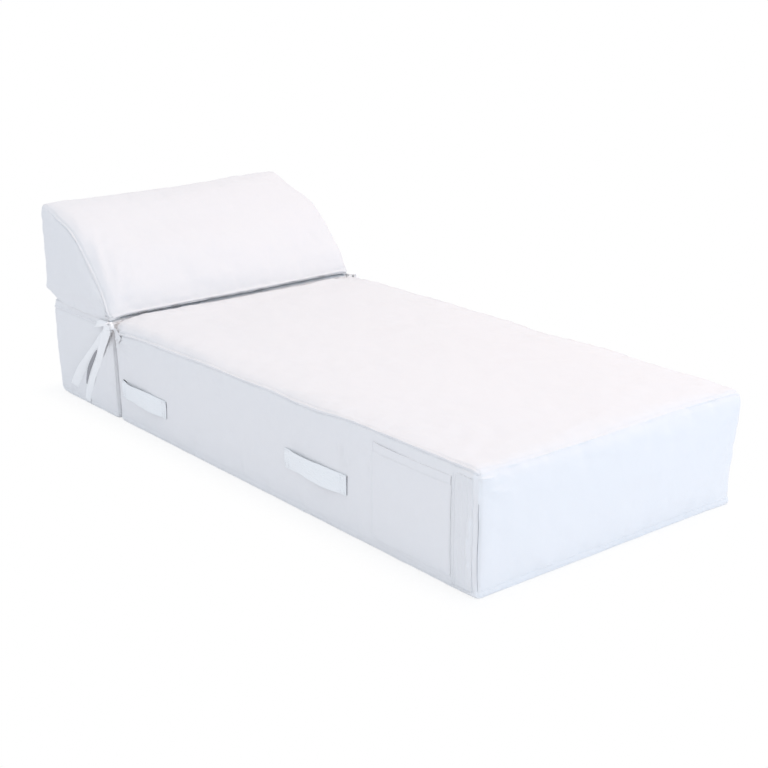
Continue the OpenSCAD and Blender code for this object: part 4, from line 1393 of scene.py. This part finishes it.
def facing_place(u, v):
    x = FACING_X0 + u * FACING_W
    z = FACING_Z0 + v * FACING_H
    pleat = 0.34 * np.sin(x * 0.9 + 0.7 * np.sin(z / 21))
    pleat = pleat + 0.30 * np.sin(x * 0.47 + 1.2 + 0.5 * np.sin(z / 34))
    lump = 1 + 0.35 * np.sin(z / 9.0) + 0.25 * np.sin(z / 4.3 + 1.0)
    spot = u - 0.8 - 0.03 * np.sin(z / 26)
    flap = 3.6 * lump * bell(spot, np.where(spot < 0, 0.055, 0.11)) * smooth((1 - u) / 0.1)
    flap = flap * ramp(v, 0.14, 0.12) * (1 - ramp(v, 0.55, 0.2))
    lift = 1.2 * bell(u, 0.07) * np.sin(np.pi * np.clip(v, 0, 1)) ** 0.3
    edge = smooth(np.minimum(u, 1 - u) * FACING_W / 5)
    rest = 0.1 + 0.5 * smooth((1 - u) * FACING_W / 9)
    return near.point(x, z, rest + pleat * edge + flap + lift)


us = edge_cells(34, FACING_W, (0, 1.2, 2.6, 4))
facing = cloth_sheet("corner_facing_strip", us, np.linspace(0, 1, 60), facing_place, 0.7)
dress(facing, CANVAS_FACING, "main_block", "canvas", "corner_facing")
for u in (0.06, 0.16):
    sew_patch(facing_place, u, np.linspace(0.02, 0.98, 60), 0.65)


def painted_shadow_line(name, xs, zs, width, out=0.45, material=SHADE):
    """A dark strip laid on the cover: painted shadow of a narrow opening beside a fold."""
    centre = near.point(xs, zs, out)
    across = np.cross([0, 1.0, 0], np.gradient(centre, axis=0))
    taper = np.sin(np.pi * np.linspace(0.06, 0.94, len(centre))) ** 0.35
    dress(strip(name, centre, across, width * taper, 0.5, 8), material, "main_block", "canvas")


# Painted shadows: dark and grey strips beside the facing, over a handle's fold, at the foot corner
# and at the handles' ends
z = np.linspace(30, 286, 40)
painted_shadow_line("facing_opening_shadow", 946.4 + 0.5 * np.sin(z / 40), z, 3.2)
x = np.linspace(-547, -524, 14)
painted_shadow_line("near_head_handle_fold_shadow", x, 112 + WEB_W / 2 + 2.2 - 0.12 * (x + 547), 3.4, 0.6)
z = np.linspace(24, 236, 40)
painted_shadow_line("corner_opening_shadow", MAIN_X1 - 2.6 + 0.3 * np.sin(z / 30), z, 2.0, 1.0, CREASE_SHADE)
for name, width in (("near_head_handle", 2.0), ("near_foot_handle", 2.8)):
    _, x0, z0, _ = HANDLES[name]
    z = np.linspace(z0 - WEB_W / 2 + 2, z0 + WEB_W / 2 - 1, 20)
    painted_shadow_line(name + "_opening_shadow", x0 + HANDLE_LEN / 2 + 1.0, z, width, 0.5, CREASE_SHADE)

# Ties: knots, tails and the ends sewn on the covers

KNOT_Z, KNOT_R, TAPE_W, TAPE_T = 304.0, 9.0, 28.0, 1.3
WRAP_Z, WRAP_STEP, SEAT_GAP = 10.05, 6.885, 0.3


TAILS = {  # reach, end's height, out at the knot, and twist at places down the tail
    "tie_front_tail": (187.0, 16.0, WRAP_Z + WRAP_STEP, (0.20, 0.22, 0.20, 0.14, 0.10)),
    "tie_rear_tail": (255.0, 50.0, WRAP_Z, (0.15, 0.10, 0.22, 0.42, 0.50)),
}


def tape(name, points, across, wide, knot, thick=TAPE_T, curl=0.0):
    """A piece of tie tape on the main block."""
    across = np.broadcast_to(across, points.shape)
    made = strip(name, points, across, wide, thick, 20, 6, 0.06, curl=curl)
    return dress(made, TAPE, "main_block", "tie_tape", knot)


def hang(centre, side):
    """Works out the length of a tape that hangs from its knot; the length is not kept."""
    length = float(round(along_line(centre)[-1]))


def tail(side, part):
    """One tail of a knot, which hangs down over the head block's cover."""
    reach, end_z, out, twists = TAILS[part]
    name, sign = f"{side}_{part}", PANELS[side].sign
    s = np.linspace(0, 1, 90)
    x = TIE_X - reach * (0.6 * s + 0.4 * np.sin(s * math.pi / 2))
    top = KNOT_Z - KNOT_R - SEAT_GAP
    z = top - (top - end_z) * s
    way = np.gradient(np.stack([x, 0 * s, z], 1), axis=0)
    back = unit(np.cross(way, [0, -1.0, 0]))
    twist = blur(np.interp(s, np.linspace(0, 1, 5), twists), 10)
    wide = TAPE_W * (1.12 - 0.08 * smooth(s * 2)) * np.minimum(1, 0.8 + 4.0 * s)
    wide = wide * (1 - 0.04 * np.sin(9 * s + out))
    rest = HEAD_PANELS[side].highest(x, z, back[:, 0] * TAPE_W / 2, back[:, 2] * TAPE_W / 2)
    rest = blur(np.maximum(rest, -0.5), 6) + 0.7
    off = rest + np.abs(np.sin(twist)) * wide / 2
    off = off + (out - off) * (1 - smooth(s * 2.6)) + 0.5 * smooth(s * 3) * np.sin(14 * s + out)
    centre = np.stack([x, sign * (SIDE_Y + off), z], 1)
    across = back * np.cos(twist)[:, None] + np.stack([0 * s, sign * np.sin(twist), 0 * s], 1)
    made = tape(name + "_tape", centre, across, wide, name, curl=-0.9 * sign)
    hang(centre, side)
    if name == "near_tie_front_tail":
        # A grey strip along its rear edge: painted shade where that edge is turned under
        k = slice(33, 74)
        turned = 17 * np.sin(np.pi * np.linspace(0.05, 0.95, 41)) ** 0.6
        edge = centre[k] + across[k] * ((wide[k] + turned) / 2 - 0.8)[:, None]
        edge[:, 1] -= sign * 0.5
        made = strip(name + "_turned_edge_shade", edge, back[k], turned, 0.8, 10)
        dress(made, CREASE_SHADE, "main_block", "canvas")


def knot(side):
    """One end of the tie wrapped round the tails, and drawn through over the first turn."""
    name, sign = f"{side}_tie_knot", PANELS[side].sign

    def at_knot(a, o, h):
        return np.stack([TIE_X - 5 + a, sign * (SIDE_Y + 12 + o), KNOT_Z - 7 + h], -1)

    t = np.linspace(0, 2 * math.pi, 120)
    turn = at_knot(13.5 * np.cos(t), 9.0 * np.sin(t), -2 + 2.5 * np.cos(t - 0.6))
    tape(f"{name}_tape", turn, (0.10, 0.0, 1.0), 14.5 + 2.0 * np.sin(2 * t), name, 3.0, -1.2)
    turn = at_knot(-1 + 3.5 * np.cos(t + 0.5), 10.8 * np.sin(t), 1 + 12.5 * np.cos(t))
    tape(f"{name}_turn", turn, (1.0, 0.0, 0.22), 13.0 + 2.5 * np.sin(t), name, 3.0, -1.2)
    # Its short end, which sticks out over the head block
    s = np.linspace(0, 1, 30)
    centre = at_knot(-4 - 76 * s, -4 + 4 * np.sin(math.pi * s) + 2 * s, 7 - 16 * s**1.6)
    lay = np.stack([0.10 + 0 * s, -sign * (0.25 + 0.35 * s), 1 - 0.2 * s], 1)
    made = tape(f"{name}_end", centre, lay, 13 + 9 * smooth(s * 1.6), name, curl=1.8 * sign)
    hang(centre, side)
    # A loose turn beside the joint
    t = np.linspace(0, 2 * math.pi, 60)
    turn = at_knot(25 + 7.0 * np.cos(t), 1.5 + 2.0 * np.sin(t), 8 + 9.5 * np.sin(t) - 4 * np.cos(t))
    tape(f"{name}_loop", turn, (0.0, 1.0, 0.0), 8.0 + 1.0 * np.sin(t), name, 1.8)


for side in ("near", "far"):
    for part in TAILS:
        tail(side, part)
    knot(side)


def tab(name, centre, across, wide, body, node, sign, sewn):
    """A tape end sewn on a cover, with two rows of stitches on its last sewn places."""
    made = strip(name, centre, np.broadcast_to(across, centre.shape), wide, 0.9, 16, 6, 0.04)
    dress(made, CANVAS, body, "tie_tape", node)
    for shift in (8.0, -8.0):
        stitch(body, sewn + np.array([0, 0, shift]), (0, sign, 0), TAB_STITCH)


TABS = {"main_tie_tabs": (-45.0, "main_block"), "head_tie_tabs": (-135.0, "head_block")}
for node, (angle, body) in TABS.items():
    for side in ("near", "far"):
        panel = (PANELS if body == "main_block" else HEAD_PANELS)[side]
        d = np.linspace(5.2, 62, 24)
        a = math.radians(angle)
        x, z = TIE_X + d * math.cos(a), KNOT_Z + d * math.sin(a)
        lift = 0.5 + 6.0 * (1 - ramp(d, 5, 22))
        centre = panel.point(x, z, lift)
        centre[:, 1] = np.where(d < 14, panel.sign * (SIDE_Y + lift), centre[:, 1])
        wide = 9 + (TAPE_W - 9) * ramp(d, 4, 40)
        across = (-math.sin(a), 0, math.cos(a))
        sewn = panel.point(x[-8:], z[-8:], 1.1)
        tab(f"{side}_{node}_tape", centre, across, wide, body, node, panel.sign, sewn)

for side, sign in (("near", -1), ("far", 1)):
    s = np.linspace(0, 1, 26)
    x = TIE_X + nose[0] - 6 - 46 * s
    z = BOLSTER_Z + nose[1] - 1 + 14 * s + 3 * np.sin(math.pi * s)
    centre = np.stack([x, sign * (SIDE_Y + 1.2 + 0.5 * np.sin(5 * s)), z], 1)
    wide = 12 + (TAPE_W - 12) * smooth(s * 2.4)
    sewn = centre[-9:] + [0, sign * 0.7, 0]
    name = f"{side}_bolster_tie_tab_tape"
    tab(name, centre, (0.29, 0, 0.96), wide, "bolster", "bolster_tie_tabs", sign, sewn)

# Zips: woven tapes under the teeth, and materials for the rigid nodes

ZIPS = {  # tapes, body, the axis that the zip looks along, and the one that it runs along
    "main_zip": (main_tapes, "main_block", 1, 0),
    "head_zip": (head_tapes, "head_block", 0, 1),
    "bolster_zip": (bolster_tapes, "bolster", 0, 1),
}
ZIP_TAPE_W = 14.0
for name, ((lo, hi), body, face, run) in ZIPS.items():
    way = 1 if face == 1 else -1
    for label, sign in (("lower", -1), ("upper", 1)):
        centre = np.tile((lo + hi) / 2, (120, 1))
        centre[:, run] = np.linspace(lo[run], hi[run], 120)
        centre[:, 2] += sign * (1 + ZIP_TAPE_W / 2) + 0.25 * np.sin(centre[:, run] / 37)
        across = np.broadcast_to([0, 0, float(way)], centre.shape)
        made = strip(f"{name}_{label}_tape", centre, across, ZIP_TAPE_W, 0.8, 14, 4, 0.05)
        dress(made, TAPE, body, "zip_tape", name + "_tapes")
        centre[:, 2] += sign * 3.4
        centre[:, face] += way * 0.45
        out = np.zeros(3)
        out[face] = way
        stitch(body, centre, out, ZIP_STITCH)

STUFFS = {  # by the last word of a node's name
    "foam": FOAM, "liner": LINER, "teeth": ZIP_WHITE,
    "slider": NICKEL, "pull": NICKEL, "stops": NICKEL,
}
for name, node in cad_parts.items():
    stuff = STUFFS.get(name.split("_")[-1])
    if stuff:
        node.data.materials.clear()
        node.data.materials.append(stuff)

# Panels of lining under the blocks

for cover, cells in ((main, 90), (head, 26)):
    name = cover.body.replace("block", "base")
    lo, hi = cad(name + "_panel")

    def base_place(u, v, lo=lo, size=hi - lo):
        p = np.stack([lo[0] + u * size[0], lo[1] + v * size[1], 0 * u], -1)
        edge = np.minimum(np.minimum(u, 1 - u) * size[0], np.minimum(v, 1 - v) * size[1])
        sway = np.clip(waves(p, 71, 40, 60, 300), -1.6, 1.6)
        p[..., 2] = 0.62 + 0.28 * smooth(edge / 12) * sway
        return p

    shares = np.linspace(0, 1, cells), np.linspace(0, 1, 54)
    made = cloth_sheet(name + "_lining", *shares, base_place, 0.5)
    dress(made, LINING, cover.body, "lining", name + "_panel")

for body in stitches:
    sew(body, body.split("_")[0] + "_stitches")

# Floor, light and camera


def floor_material():
    """White to the view away from the bed, and lit with its shadow beside it."""
    n = Nodes(bpy.data.materials.new("floor_white"))
    place = n.add("TexCoord").outputs["Object"]
    # How far a place lies outside the bed's footprint
    past = n.add("VectorMath", {0: place, 1: (0.02, 0, 0)}, operation="SUBTRACT").outputs[0]
    past = n.add("VectorMath", {0: past}, operation="ABSOLUTE").outputs[0]
    past = n.add("VectorMath", {0: past, 1: (1.0, 0.44, 1)}, operation="SUBTRACT").outputs[0]
    past = n.add("VectorMath", {0: past, 1: (0, 0, 0)}, operation="MAXIMUM").outputs[0]
    away = n.add("VectorMath", {0: past}, operation="LENGTH").outputs["Value"]
    reach = {"Value": away, "From Min": 0.0, "From Max": 0.11, "To Min": 0.84}
    fade = n.add("MapRange", reach, interpolation_type="SMOOTHSTEP").outputs[0]
    tint = n.mix(n.noise(place, 3.0, 2), (0.955, 0.957, 0.965), (0.965, 0.966, 0.972))
    lit = n.add("BsdfDiffuse", {"Color": tint}).outputs[0]
    white = n.add("Emission", {"Color": (1, 1, 1, 1), "Strength": 1.0}).outputs[0]
    return n.finish(n.add("MixShader", {0: n.times(fade, n.seen()), 1: lit, 2: white}))


def make_floor():
    mesh = bpy.data.meshes.new("floor")
    r, z = 9.0, -0.0005
    mesh.from_pydata([(-r, -r, z), (r, -r, z), (r, r, z), (-r, r, z)], [], [(0, 1, 2, 3)])
    made = bpy.data.objects.new("floor", mesh)
    bpy.context.scene.collection.objects.link(made)
    mesh.materials.append(floor_material())
    made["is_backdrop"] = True


def make_world():
    """White to the view, and a cool even light on the bed."""
    n = Nodes(bpy.data.worlds.new("studio"), "OutputWorld")
    bpy.context.scene.world = n.owner
    white = n.add("Background", {0: (1, 1, 1, 1)}).outputs[0]
    ambient = n.add("Background", {0: (0.866, 0.922, 1.0, 1), 1: 0.945}).outputs[0]
    n.finish(n.add("MixShader", {0: n.seen(), 1: ambient, 2: white}))


def area_light(name, place, target, size, watts, colour):
    """A rectangular light at place that looks at target, both in metres."""
    light = bpy.data.lights.new(name, "AREA")
    light.shape = "RECTANGLE"
    light.size, light.size_y = size
    light.energy = watts
    light.color = colour
    made = bpy.data.objects.new(name, light)
    made.location = place
    made.rotation_euler = (Vector(target) - Vector(place)).to_track_quat("-Z", "Y").to_euler()
    bpy.context.scene.collection.objects.link(made)


def make_camera():
    """The photograph's camera, as solved from the bed's straight edges."""
    data = bpy.data.cameras.new("camera")
    data.lens, data.sensor_width = 69.59, 36.0
    made = bpy.data.objects.new("camera", data)
    bpy.context.scene.collection.objects.link(made)
    yaw, pitch, roll = (math.radians(a) for a in (-51.113, 17.985, -0.442))
    level = math.cos(pitch)
    forward = Vector((math.sin(yaw) * level, math.cos(yaw) * level, -math.sin(pitch)))
    right = Vector((math.cos(yaw), -math.sin(yaw), 0))
    up = right.cross(forward)
    r2 = right * math.cos(roll) + up * math.sin(roll)
    u2 = up * math.cos(roll) - right * math.sin(roll)
    made.matrix_world = Matrix((
        (r2.x, u2.x, -forward.x, 3.2616),
        (r2.y, u2.y, -forward.y, -2.5147),
        (r2.z, u2.z, -forward.z, 1.5038),
        (0, 0, 0, 1),
    ))
    bpy.context.scene.camera = made


make_floor()
make_world()
area_light("key", (1.0, 0.9, 3.4), (0.1, 0.0, 0.2), (3.6, 3.2), 46.5, (1.0, 0.64, 0.42))
area_light("foot_fill", (4.2, 0.9, 1.6), (0.4, 0.0, 0.2), (2.4, 2.0), 25.5, (0.36, 0.69, 1.0))
make_camera()
bpy.context.scene.view_settings.view_transform = "Standard"

lo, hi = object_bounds()
